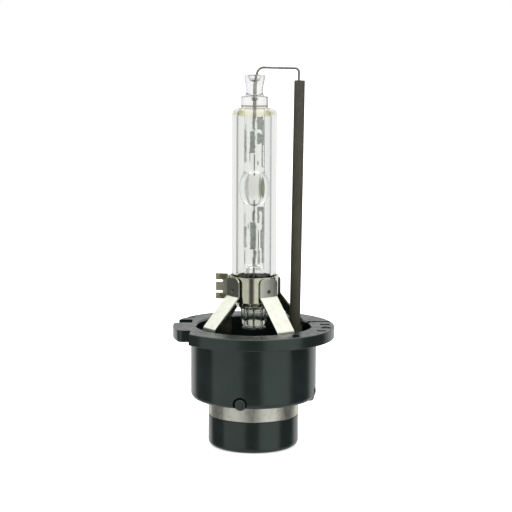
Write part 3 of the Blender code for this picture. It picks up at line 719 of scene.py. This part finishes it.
def lobe_corner_tool():
    """The outside of the round corner at the lobe's front."""
    fillet = LOBE_FILLET
    y = KEYWAYS[1][1] * MM + fillet
    x = -sqrt((FLANGE_R - fillet) ** 2 - y**2)
    start = 180 + degrees(atan2(-y, -x))
    outline = arc(x, y, fillet, fillet, start, 270, 12)
    outline += [(x, y - 2 * fillet), (x - 2 * fillet, y - 2 * fillet), (x - 2 * fillet, y)]

    def build(bm):
        base = bm.faces.new([bm.verts.new((px, py, above(-4))) for px, py in outline])
        grown = bmesh.ops.extrude_face_region(bm, geom=[base])["geom"]
        top = [item for item in grown if isinstance(item, bmesh.types.BMVert)]
        bmesh.ops.translate(bm, vec=(0, 0, 6 * MM), verts=top)

    return cutter(mesh_from(build))


def mark_tools():
    """Shallow mould marks on the flange's top: plain grooves and ejector rounds."""
    tools = []
    for x, y, length, width in GROOVES:
        mesh = box_mesh(length * MM, width * MM, 2 * GROOVE_DEPTH * MM)
        tools.append(cutter(mesh, (x * MM, y * MM, SEAT)))
    for x, y, half, long, deep in ROUNDS:
        mesh = rod_mesh(half * MM, 2 * deep * MM)
        mesh.transform(Matrix.Diagonal((1, long / half, 1, 1)))
        tools.append(cutter(mesh, (x * MM, y * MM, SEAT)))
    return tools


def pin_tools():
    tools = []
    for azimuth in PIN_AZIMUTHS.values():
        way = radial(azimuth)
        lift = UP * PIN_HEIGHT
        tools.append(cutter(rod_mesh(PIN_BORE_R, 5 * MM, 40), way * 11.8 * MM + lift, way))
        shift = (UP + UP.cross(way)) * POCKET_SHIFT
        tools.append(cutter(rod_mesh(POCKET_R, 2 * MM, 48), way * 12.5 * MM + lift + shift, way))
    return tools


def base_housing():
    inner = MOUTH_R - 0.3 * MM
    outline = [
        (MOUTH_R, SEAT, 0.08 * MM),
        (FLANGE_R, SEAT, 0.22 * MM),
        (FLANGE_R, FLANGE_LOW, 0.22 * MM),
        (CUP_R, FLANGE_LOW, 0.25 * MM),
        (CUP_R, CUP_LOW, 1.0 * MM),
        (FLOOR_OPENING, CUP_LOW, 0.1 * MM),
        (FLOOR_OPENING, FLOOR_HIGH, 0.1 * MM),
        (inner, FLOOR_HIGH, 0.4 * MM),
        (inner, above(-0.3), 0),
    ]
    piece = new_piece("housing_shell", lathe(rounded(outline), 160), BLACK, "base_housing")
    middle = CUP_LOW + 1.2 * MM
    hole = cutter(rod_mesh(0.42 * MM, 4 * MM), (leaning_x(WIRE_FOOT_X, middle), 0, middle))
    carve(piece, keyway_tools() + [lobe_corner_tool(), hole] + mark_tools() + pin_tools())
    soften(piece, 0.07 * MM)


def bayonet_pins():
    outline = [(0, PIN_LENGTH, 0), (PIN_R, PIN_LENGTH, 0.7 * MM), (PIN_R, 0, 0.1 * MM), (0, 0, 0)]
    for name, azimuth in PIN_AZIMUTHS.items():
        way = radial(azimuth)
        mesh = lathe(rounded(outline), 40, closed=False)
        turn = UP.rotation_difference(way).to_matrix().to_4x4()
        mesh.transform(Matrix.Translation(way * PIN_INNER + UP * PIN_HEIGHT) @ turn)
        new_piece(f"locking_pin_{name}", mesh, PIN_BLACK, f"bayonet_pin_{name}")


def plug_body():
    step = RING_LOW - 0.05 * MM
    well = ((0.5, -0.3, 0.1), (2.4, -0.3, 0.3), (2.4, -12.3, 0.5), (7.0, -12.3, 0.1))
    outline = corners(SEAT, *well)
    outline += corners(RING_HIGH, (7.0, 0, 0), (8.15, 0, 0))
    outline += [(8.15 * MM, step, 0), (PLUG_R, step, 0.12 * MM), (PLUG_R, RIM, 1.05 * MM)]
    outline += corners(
        RIM, (6.4, 0, 0.3), (6.4, 7.5, 0.3), (3.0, 7.5, 0.3), (3.0, 3.0, 0.2), (1.6, 3.0, 0),
        (1.6, 8.9, 0), (0.5, 8.9, 0),
    )
    piece = new_piece("plug_body", lathe(rounded(outline, 7), 144), BLACK, "plug_insulator")
    middle = (RING_HIGH + step) / 2
    groove = (leaning_x(WIRE_FOOT_X, middle), 0, middle + 0.4 * MM)
    carve(piece, [cutter(rod_mesh(0.45 * MM, 3.6 * MM), groove)])


def contact_ring():
    seam_azimuth = 150
    outline = corners(RING_LOW, (8.2, 0, 0.1))
    outline += [(8.2 * MM, RING_HIGH, 0.1 * MM)]
    outline += [(PLUG_R, z, 0.15 * MM) for z in (RING_HIGH, RING_LOW)]
    piece = new_piece("contact_band", lathe(rounded(outline), 144), NICKEL, "contact_ring")
    place = radial(seam_azimuth) * PLUG_R + UP * (RING_LOW + RING_HIGH) / 2
    carve(piece, [cutter(box_mesh(0.12 * MM, 2 * MM, 5 * MM), place, turn=seam_azimuth)])


def centre_contact():
    low, high = (corner.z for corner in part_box("centre_contact"))
    outline = corners(high, (0.3, 0, 0), (1.55, 0, 0.15))
    outline += corners(
        low, (1.55, 0.7, 0), (2.3, 0.7, 0.1), (2.3, 0, 0.3), (1.2, 0, 0.1), (1.0, 0.15, 0.1),
        (0.3, 0.15, 0),
    )
    new_piece("centre_contact_rivet", lathe(rounded(outline), 72), BRASS, "centre_contact")
    low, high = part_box("centre_contact_weld")
    radius = high.x
    top = high.z + 0.14 * MM
    outline = [(0, top), (radius * 0.9, top), (radius, high.z)]
    outline += arc(0, high.z, radius, low.z - high.z, 15, 90, 5)
    outline[-1] = (0, low.z)
    mesh = lathe(outline, 40, closed=False, sharp=60)
    ripple(mesh, 0.02 * MM, 0.3 * MM)
    new_piece("centre_contact_bead", mesh, LEAD, "centre_contact_weld")


# --------------------------------------------------------------- metal mount

LEG_AZIMUTHS = {
    "front_right": LEG_TURN,
    "rear_right": LEG_TURN + 90,
    "rear_left": LEG_TURN + 180,
    "front_left": LEG_TURN + 270,
}
LEG_HALF = 2.0 * MM
LEG_TOP = above(9.75)
LEG_CORNER = 1.1 * MM
LEG_COLUMNS = 8

# How strongly a pad is crowned over the clamp band, per metre, and where the crown starts.
PAD_CROWN = 11.0
CROWN_LOW = above(5.6)


def leg_stations():
    """Places down the middle of a strip that faces the front, each with the half width there."""
    stations = []
    for i in range(9):
        turn = radians(90 * i / 8)
        drop = LEG_CORNER * (1 - cos(turn))
        half = LEG_HALF - LEG_CORNER * (1 - sin(turn))
        stations.append((Vector((0, -PAD_R, LEG_TOP - drop)), half))
    points = [
        (0, -PAD_R, LEG_TOP - LEG_CORNER),
        (0, -PAD_R, above(6.1)),
        (0, -FOOT_R, above(0.1)),
        (0, -FOOT_R, above(-6.2)),
    ]
    path = bent_path(points, (0.6 * MM, 0.9 * MM))
    for start, end in zip(path, path[1:]):
        run = (end - start).length
        if run > 0.5 * MM:
            inset = (end - start) / run * 0.04 * MM
            stations += [(start + inset, LEG_HALF), (end - inset, LEG_HALF)]
        stations.append((end, LEG_HALF))
    return stations


def leg_mesh(azimuth):
    turn = Matrix.Rotation(radians(azimuth), 4, "Z")

    def across(place, half, column):
        """The strip is crowned over the clamp band, and flat from the first bend down."""
        x = (2 * column / LEG_COLUMNS - 1) * half
        bow = PAD_CROWN * x * x * min(1.0, max(0.0, (place.z - CROWN_LOW) / MM))
        return turn @ (place + Vector((x, bow, 0)))

    def build(bm):
        columns = range(LEG_COLUMNS + 1)
        rows = ([across(*station, c) for c in columns] for station in leg_stations())
        skin(bm, [[bm.verts.new(place) for place in row] for row in rows])

    return mesh_from(build)


def legs():
    for label, azimuth in LEG_AZIMUTHS.items():
        piece = new_piece(f"strip_leg_{label}", leg_mesh(azimuth), LEG_STEEL, f"leg_{label}")
        thicken(piece, LEG_SHEET)
        # The weld gun leaves a small blunt cone of a dent in each pad.
        way = radial(azimuth)
        place = way * (PAD_R + LEG_SHEET / 2) + UP * WELD_HEIGHT
        carve(piece, [cutter(rod_mesh(0.25 * MM, 0.26 * MM, 28, 0.5 * MM), place, way)])
        soften(piece, 0.05 * MM)


def leg_ring():
    low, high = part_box("leg_ring")
    outer = high.x
    inner = outer - 0.4 * MM
    section = [(inner, high.z), (outer, high.z), (outer, low.z), (inner, low.z)]
    outline = rounded([(r, z, 0.1 * MM) for r, z in section], 3)
    new_piece("leg_weld_ring", lathe(outline, 96), LEG_STEEL, "leg_ring")


# The clamp is one strip: a band round the glass, and an ear on the left where its ends meet.
CLAMP_SHEET = 0.3 * MM
BAND_R = 4.66 * MM
BAND_HEIGHTS = (above(5.0), above(9.9))
EAR_HEIGHTS = (above(5.2), above(10.2))
EAR_X = -7.46 * MM
EAR_LAYER = 0.19 * MM
EAR_BEND = 0.5 * MM
BAND_STEPS = 72
CLAMP_LEVELS = 24

# The ear leans back from its kink outward. Its two tabs are pressed harder: their low and high
# ends and those of the slots beside them, in mm above the seat.
EAR_KINK = -5.2 * MM
EAR_SLANT = 0.15
TAB_X = -5.9 * MM
TABS = ((5.2, 6.35), (9.0, 10.2))
SLOTS = ((6.35, 6.85), (8.5, 9.0))


def waved(x, y):
    """The wrapped strip isn't a true circle: it waves by about a tenth of a millimetre."""
    azimuth = atan2(x, -y)
    open_side = min(1.0, max(0.0, (x + 4.2 * MM) / MM))
    wave = 0.11 * MM * open_side * cos(6 * (azimuth + radians(12)))
    reach = hypot(x, y)
    return x * (1 + wave / reach), y * (1 + wave / reach)


def crimp(mesh):
    """Bends the ear back a little, and rounds its top and bottom tabs, which are pressed harder."""
    for vertex in mesh.vertices:
        x, y, z = vertex.co
        vertex.co.y += EAR_SLANT * max(0.0, EAR_KINK - x)
        if x > TAB_X:
            continue
        for low, high in TABS:
            share = (z - above((low + high) / 2)) / ((high - low) / 2 * MM)
            if abs(share) <= 1.001:
                vertex.co.y += copysign(0.16 * MM * (1 - share**2) - 0.05 * MM, y)


def clamp_outline():
    """The strip's middle line, from one end of the ear round the glass to the other."""
    bend_y = EAR_LAYER + EAR_BEND
    bend_x = sqrt((BAND_R + EAR_BEND) ** 2 - bend_y**2)
    meet = degrees(atan2(bend_y, bend_x))
    half = [(EAR_X + (-bend_x - EAR_X) * i / 4, EAR_LAYER) for i in range(5)]
    half += arc(-bend_x, bend_y, EAR_BEND, EAR_BEND, -90, -meet, 5)[1:]
    half += arc(0, 0, BAND_R, BAND_R, 180 - meet, 0, BAND_STEPS)[1:]
    outline = [waved(x, y) for x, y in half + [(x, -y) for x, y in half[-2::-1]]]
    return outline, -bend_x + 0.02 * MM


def clamp_band():
    outline, ear_end = clamp_outline()

    def build(bm):
        walls = []
        for x, y in outline:
            low, high = EAR_HEIGHTS if x < ear_end else BAND_HEIGHTS
            levels = (low + (high - low) * k / CLAMP_LEVELS for k in range(CLAMP_LEVELS + 1))
            walls.append([bm.verts.new((x, y, level)) for level in levels])
        skin(bm, walls)

    piece = new_piece("clamp_strip", mesh_from(build), CLAMP_STEEL, "clamp_band")
    thicken(piece, CLAMP_SHEET)
    tools = []
    for low, high in SLOTS:
        tall = (high - low) * MM
        centre = above((low + high) / 2)
        tools.append(cutter(box_mesh(1.2 * MM, 3 * MM, tall), (EAR_X + 0.55 * MM, 0, centre)))
        end = rod_mesh(tall / 2, 3 * MM, 24)
        tools.append(cutter(end, (EAR_X + 1.15 * MM, 0, centre), Vector((0, 1, 0))))
    carve(piece, tools)
    crimp(piece.data)
    soften(piece, 0.05 * MM)


# -------------------------------------------------------------------- burner

ENVELOPE_WALL = 1.2 * MM
STEM_R = 2.0 * MM

# Largest radius and half length of the bulge's outside and of the arc chamber in it.
BULGE = (2.95 * MM, 4.3 * MM)
CHAMBER = (1.35 * MM, 3.5 * MM)


def oval(radius, half, least):
    """The outline of an oval hollow or bulge, where it's wider than a least radius."""
    return [place for place in arc(0, ARC_CENTRE, radius, half, 90, -90, 40) if place[0] > least]


def envelope():
    neck = 2.7 * MM
    hole = 2.1 * MM
    tall = 1.3 * MM
    top = GLASS_HIGH - tall
    bottom = GLASS_LOW + tall
    inner = GLASS_R - ENVELOPE_WALL
    outline = [(hole, GLASS_HIGH)]
    outline += arc(neck, top, GLASS_R - neck, tall, 90, 0, 14)
    outline += arc(neck, bottom, GLASS_R - neck, tall, 0, -90, 14)
    outline += [(hole, GLASS_LOW)]
    outline += arc(hole, bottom + 0.4 * MM, inner - hole, tall - 0.2 * MM, -90, 0, 14)
    outline += arc(hole, top - 0.4 * MM, inner - hole, tall - 0.2 * MM, 0, 90, 14)
    mesh = lathe(outline, 128, sharp=60)
    new_piece("glass_envelope", mesh, ENVELOPE_QUARTZ, "outer_envelope")


def burner():
    """Stems, collars, tail and bulge as one body of glass, with the arc chamber hollow in it."""
    tail = corners(TAIL_HIGH, (1.1, -0.5, 0), (1.2, 0, 0.3), (2.05, 0, 0.35), (1.98, -1.1, 1.2))
    high_collar = ((1.62, 46.2, 1.6), (1.8, 44.92, 0.35), (2.65, 44.8, 0.45), (2.65, 42.65, 0.2))
    outline = rounded_run(tail + corners(SEAT, *high_collar, (2.0, 42.65, 0)))
    outline += oval(*BULGE, STEM_R)
    low_collar = ((2.0, 3.6, 0), (2.65, 3.6, 0.15), (2.65, 3.0, 0.15), (2.5, 3.0, 0.1))
    foot = ((2.5, 0, 0.85), (1.45, 0, 0.15))
    bore = ((1.45, 10.6, 0.6), (1.16, 11.7, 0.5), (0, 12.3, 0))
    outline += rounded_run(corners(SEAT, *low_collar, *foot, *bore))
    bowl = ((0, -1.35, 0), (0.45, -1.28, 0.3), (0.86, -1.05, 0.2), (1.1, -0.5, 0))
    tail_bore = rounded_run(corners(TAIL_HIGH, *bowl))
    pocket = ((0, 0, 0), (0.2, 0, 0.1), (1.02, 1.1, 0.15), (0.85, 1.27, 0.12), (0, 1.1, 0))
    bubble = rounded_run(corners(above(43.85), *pocket))

    def build(bm):
        spin(bm, tail_bore + outline[1:], 96, closed=False)
        half = CHAMBER[1]
        chamber = [(0, ARC_CENTRE + half)] + oval(*CHAMBER, 0.02 * MM)
        spin(bm, chamber + [(0, ARC_CENTRE - half)], 64, closed=False)
        spin(bm, bubble, 48, closed=False)

    mesh = mesh_from(build, sharp=60)
    face_the_hollow(mesh)
    new_piece("quartz_burner", mesh, ARC_QUARTZ, "arc_tube")


def face_the_hollow(mesh):
    """Turns the faces of the closed hollows inward, so that the glass lies outside them."""
    hollows = ((ARC_CENTRE, *CHAMBER), (above(44.5), 1.05 * MM, 0.85 * MM))
    bm = bmesh.new()
    bm.from_mesh(mesh)
    bm.normal_update()
    flipped = []
    for face in bm.faces:
        centre = face.calc_center_median()
        flat = Vector((centre.x, centre.y, 0))
        for height, radius, half in hollows:
            lift = centre.z - height
            inside = (flat.length / (radius * 1.08)) ** 2 + (lift / (half * 1.03)) ** 2 < 1
            out = flat / radius**2 + UP * lift / half**2
            if inside and face.normal.dot(out) > 0:
                flipped.append(face)
    bmesh.ops.reverse_faces(bm, faces=flipped)
    bm.to_mesh(mesh)
    bm.free()


FOIL_Y = 0.45 * MM
FOIL_SHEET = 0.02 * MM
FOIL_COLUMNS = 6

# Each seal's foil is torn into ribbons: left and right edges as seen through the stem, then the
# lower and upper ends from the arc's centre, all in mm.
RIBBONS = {
    "upper": (
        (-0.42, 0.12, 11.1, 13.9), (-0.90, 0.14, 6.75, 11.1), (-1.10, -0.65, 6.6, 7.1),
        (-0.98, -0.80, 5.0, 8.0), (-1.90, -1.55, 4.9, 11.3), (-1.75, -1.62, 11.2, 12.4),
        (0.50, 1.62, 11.2, 14.1), (0.50, 1.62, 8.45, 10.75), (1.42, 2.0, 8.2, 13.3),
        (1.42, 1.66, 4.1, 8.3), (1.84, 2.0, 4.9, 8.3), (1.30, 1.75, 3.9, 4.3),
        (0.60, 0.85, 4.4, 5.3),
    ),
    "lower": (
        (-0.35, 0.12, -6.7, -4.3), (-0.78, 0.38, -12.1, -6.6), (-0.2, 0.45, -13.9, -12.0),
        (-2.0, -1.52, -11.9, -7.3), (-1.85, -1.70, -14.9, -12.3), (-1.85, -1.72, -7.2, -5.0),
        (-1.25, -1.05, -8.0, -6.9), (-0.86, -0.68, -8.3, -6.6), (0.62, 1.05, -6.9, -4.3),
        (0.62, 1.98, -4.6, -3.6), (1.52, 2.0, -15.0, -4.3), (1.25, 1.60, -12.0, -8.0),
        (0.75, 0.98, -15.0, -8.2), (1.05, 1.22, -15.0, -12.2),
    ),
}


def behind(sight):
    """Where a sight line that meets the round stem off its axis crosses the foil's plane."""
    inside = min(abs(sight), 0.995 * STEM_R)
    entry = -sqrt(STEM_R**2 - inside**2)
    bend = asin(inside / STEM_R) - asin(inside / STEM_R / QUARTZ_IOR)
    return copysign(inside - (FOIL_Y - entry) * tan(bend), sight)


def ribbon(bm, number, left, right, low, high):
    """One frayed strip of foil; number picks its noise."""
    rows = max(6, int((high - low) * 8))
    fray = min(0.16, (right - left) * 0.3)
    grid = []
    for row in range(rows + 1):
        up = low + (high - low) * row / rows
        line = []
        for column in range(FOIL_COLUMNS + 1):
            share = column / FOIL_COLUMNS
            end = 0.34 * noise.noise(Vector((share * 2.6, number * 5.3, 0.5))) - 0.5 * fray
            end -= 0.7 * fray * (2 * share - 1) ** 4
            z = low - end + (high - low + 2 * end) * row / rows
            sight = left + (right - left) * share
            for depth, pace in ((1, 1.7), (0.4, 5.1)):
                wander = Vector((number * 3.1, share * 1.4, up * pace))
                sight += depth * fray * noise.noise(wander)
            dent = 0.03 * MM * noise.noise(Vector((share, z * 1.3, number)))
            place = (behind(sight * MM), FOIL_Y + dent, ARC_CENTRE + z * MM)
            line.append(bm.verts.new(place))
        grid.append(line)
    skin(bm, grid)


def foils():
    for label, ribbons in RIBBONS.items():

        def build(bm):
            for number, edges in enumerate(ribbons):
                ribbon(bm, number, *edges)

        piece = new_piece(f"seal_foil_{label}", mesh_from(build), FOIL, f"{label}_foil")
        piece.modifiers.new("Sheet", "SOLIDIFY").thickness = FOIL_SHEET


def electrodes():
    ball = 0.17 * MM
    neck = 0.14 * MM
    shank = 0.075 * MM
    for label, side in (("upper", 1), ("lower", -1)):
        low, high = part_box(f"{label}_electrode")
        tip, far = (low.z, high.z) if side > 0 else (high.z, low.z)
        end = far + side * 1.7 * MM
        outline = [(0, end), (shank, end), (shank, tip + side * 1.0 * MM)]
        outline += [(neck, tip + side * 0.8 * MM), (neck, tip + side * 2 * ball)]
        outline += arc(0, tip + side * ball, ball, side * ball, 35, -90, 8)
        outline[-1] = (0, tip)
        mesh = lathe(outline, 24, closed=False)
        new_piece(f"tungsten_rod_{label}", mesh, TUNGSTEN, f"{label}_electrode")


# The condensed salts: heights from the arc's centre, the middle azimuth, the widest spread, and
# how far the patch reaches outside and inside the chamber's wall.
SALT_HEIGHTS = (-1.75 * MM, 1.85 * MM)
SALT_AZIMUTH = 88
SALT_SPREAD = 84
SALT_INSETS = (-0.04 * MM, 0.05 * MM)


def salt_patch():
    """A thin ragged crescent on the chamber's right wall."""
    rows, columns = 26, 18
    low, high = SALT_HEIGHTS

    def wall(column, row, inset):
        z = low + (high - low) * row / rows
        taper = sin(pi * (row + 0.5) / (rows + 1)) ** 0.7
        ragged = 1 + 0.25 * noise.noise(Vector((row * 0.35, 2.0, 0)))
        azimuth = SALT_AZIMUTH + SALT_SPREAD * taper * ragged * (column / columns - 0.5)
        r = (CHAMBER[0] - inset) * sqrt(1 - (z / CHAMBER[1]) ** 2)
        return radial(azimuth) * r + UP * (ARC_CENTRE + z)

    def build(bm):
        layers = []
        for inset in SALT_INSETS:
            places = ([wall(c, r, inset) for c in range(columns + 1)] for r in range(rows + 1))
            layers.append([[bm.verts.new(place) for place in row] for row in places])
        for grid in layers:
            skin(bm, grid)
        outer, inner = layers
        border = [(0, c) for c in range(columns)] + [(r, columns) for r in range(rows)]
        border += [(rows, c) for c in range(columns, 0, -1)] + [(r, 0) for r in range(rows, 0, -1)]
        for (r0, c0), (r1, c1) in zip(border, border[1:] + border[:1]):
            bm.faces.new((outer[r0][c0], outer[r1][c1], inner[r1][c1], inner[r0][c0]))

    mesh = mesh_from(build, sharp=70)
    ripple(mesh, 0.012 * MM, 0.25 * MM)
    new_piece("salt_patch", mesh, SALT, "halide_deposit")


# --------------------------------------------------------------------- leads

RETURN_R = 0.24 * MM
LEAD_R = 0.2 * MM
TUBE_R = 1.05 * MM
TUBE_BORE = 0.5 * MM
TUBE_EDGE = 0.1 * MM
TUBE_RINGS = 60


def wire_piece(name, path, radius, node):
    curve = bpy.data.curves.new(name, "CURVE")
    curve.dimensions = "3D"
    curve.bevel_depth = radius
    curve.bevel_resolution = 4
    curve.use_fill_caps = True
    spline = curve.splines.new("POLY")
    spline.points.add(len(path) - 1)
    for point, place in zip(spline.points, path):
        point.co = (*place, 1.0)
    holder = placed(name + "_curve", curve)
    mesh = evaluated_mesh(holder)
    bpy.data.objects.remove(holder)
    crisp(mesh, 50)
    new_piece(name, mesh, LEAD, node)


def return_wire():
    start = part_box("upper_foil")[1].z - 0.35 * MM
    right_top = above(50.21)
    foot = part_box("return_wire")[0].z
    corners = [
        (0, 0, start),
        (0.05 * MM, 0, above(47.3)),
        (0.7 * MM, 0, above(50.36)),
        (leaning_x(WIRE_FOOT_X, right_top), 0, right_top),
        (leaning_x(WIRE_FOOT_X, foot), 0, foot),
    ]
    path = bent_path(corners, (4 * MM, 1.3 * MM, 0.75 * MM), 14)
    wire_piece("return_lead", path, RETURN_R, "return_wire")

    low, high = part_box("return_wire_weld")
    place = Matrix.Translation((low + high) / 2)
    radius = (high.z - low.z) / 2
    mesh = solid(bmesh.ops.create_icosphere, subdivisions=3, radius=radius, matrix=place)
    ripple(mesh, 0.03 * MM, 0.25 * MM)
    new_piece("return_lead_bead", mesh, LEAD, "return_wire_weld")


def lower_lead():
    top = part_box("lower_foil")[0].z + 0.35 * MM
    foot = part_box("lower_lead")[0].z
    path = [Vector((0, 0, top + (foot - top) * i / 24)) for i in range(25)]
    wire_piece("lower_lead_wire", path, LEAD_R, "lower_lead")


def ceramic_tube():
    low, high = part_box("insulating_tube")
    tilt = TUBE_R * sin(WIRE_LEAN)
    foot = low.z + tilt
    slant = (high.z - low.z - 2 * tilt) / cos(WIRE_LEAN)
    outline = [(TUBE_BORE, slant), (TUBE_BORE + 0.05 * MM, slant)]
    outline += [(TUBE_R - TUBE_EDGE, slant), (TUBE_R, slant - TUBE_EDGE)]
    outline += [(TUBE_R, slant * (1 - i / TUBE_RINGS)) for i in range(1, TUBE_RINGS)]
    outline += [(TUBE_R, TUBE_EDGE), (TUBE_R - TUBE_EDGE, 0), (TUBE_BORE, 0)]
    mesh = lathe(outline, 48)
    place = Matrix.Translation((leaning_x(TUBE_FOOT_X, foot), 0, foot))
    mesh.transform(place @ Matrix.Rotation(WIRE_LEAN, 4, "Y"))
    new_piece("ceramic_sleeve", mesh, CERAMIC, "insulating_tube", TUBE)


# ---------------------------------------------------------------- the studio

# What stands round the lamp at its own level: (azimuth from the front in degrees, brightness).
# Two white panels left and right of the camera, dark sides, and a white backdrop.
HORIZON = (
    (-180, 0.93), (-137, 0.93), (-127, 0.12), (-84, 0.10), (-78, 0.74), (-25, 0.76), (-16, 0.18),
    (-6, 0.10), (3, 0.10), (11, 0.18), (21, 0.95), (66, 0.95), (75, 0.08), (117, 0.08), (132, 0.93),
    (180, 0.93),
)

# Brightness above and below, and the elevations in degrees over which each comes in.
TOP_LIGHT = 1.6
TOP_RISE = (21, 33)
LOW_LIGHT = 0.55
LOW_RISE = (-26, -42)

# The least brightness that's seen through glass, on the left and on the right.
THROUGH_GLASS = (0.40, 0.62)

FLOOR_GLOW = 0.55
CAMERA_PLACE = (0.4 * MM, -324.4 * MM, SEAT + 60.4 * MM)
CAMERA_PITCH = 8.2
CAMERA_ROLL = 0.25
FOCAL_LENGTH = 117.8


def world_light():
    world = bpy.data.worlds.new("studio")
    bpy.context.scene.world = world
    sky = Nodes(world)
    x, y, z = sky.split(sky.node("TexCoord").outputs["Generated"])
    around = sky.math("MULTIPLY_ADD", sky.azimuth(x, y), 0.5 / pi, 0.5)
    level = sky.ramp(around, *((bearing / 360 + 0.5, light) for bearing, light in HORIZON))
    for light, rise in ((TOP_LIGHT, TOP_RISE), (LOW_LIGHT, LOW_RISE)):
        start, end = (sin(radians(elevation)) for elevation in rise)
        level = sky.blend(sky.smooth(z, start, end), level, light)
    rays = sky.node("LightPath").outputs
    side = sky.smooth(x, 0.0, 0.4)
    lifted = sky.times(sky.blend(side, *THROUGH_GLASS), rays["Is Transmission Ray"])
    level = sky.math("MAXIMUM", level, lifted)
    strength = sky.blend(rays["Is Camera Ray"], level, 1.0)
    sky.feed(sky.nodes["Background"], {"Color": (1.0, 1.0, 1.0), "Strength": strength})


def overhead_light():
    data = bpy.data.lights.new("overhead", "AREA")
    data.shape = "RECTANGLE"
    data.size = 0.5
    data.size_y = 0.4
    data.energy = 0.6
    lamp = placed("overhead", data)
    lamp.location = (0.1, 0.05, 0.55)
    target = Vector((0, 0, 0.05))
    lamp.rotation_euler = (target - lamp.location).to_track_quat("-Z", "Y").to_euler()


def floor():
    """A white ground that can't be seen from below, so that the object's underside can."""
    mesh = solid(bmesh.ops.create_grid, x_segments=1, y_segments=1, size=3.0)
    ground = placed("floor", mesh)
    ground.location.z = RIM - 0.02 * MM
    paint = Paint("floor_white")
    speck = paint.noise(4, 3)
    paint.set(Base_Color=paint.ramp(speck, (0.3, 0.93), (0.7, 0.96)), Roughness=0.9)
    paint.set(Emission_Color=(1.0, 1.0, 1.0), Emission_Strength=FLOOR_GLOW)
    paint.set(Alpha=paint.math("SUBTRACT", 1.0, paint.geometry("Backfacing")))
    mesh.materials.append(paint.material)
    ground.visible_glossy = False
    ground.visible_transmission = False


def camera():
    """The photograph's standpoint: a third of a metre off, looking down about eight degrees."""
    data = bpy.data.cameras.new("camera")
    data.sensor_width = 36.0
    data.lens = FOCAL_LENGTH
    data.clip_start = 0.01
    data.clip_end = 20.0
    viewer = placed("camera", data)
    pitch = Matrix.Rotation(radians(90 - CAMERA_PITCH), 4, "X")
    roll = Matrix.Rotation(radians(CAMERA_ROLL), 4, "Z")
    viewer.matrix_world = Matrix.Translation(CAMERA_PLACE) @ pitch @ roll
    bpy.context.scene.camera = viewer


def render_settings():
    scene = bpy.context.scene
    scene.view_settings.view_transform = "Standard"
    cycles = scene.cycles
    cycles.max_bounces = cycles.transmission_bounces = 24
    cycles.glossy_bounces = 10


noise.seed_set(7)
base_housing()
bayonet_pins()
plug_body()
contact_ring()
centre_contact()
legs()
leg_ring()
clamp_band()
envelope()
burner()
foils()
electrodes()
salt_patch()
return_wire()
lower_lead()
ceramic_tube()

world_light()
floor()
camera()
overhead_light()
render_settings()
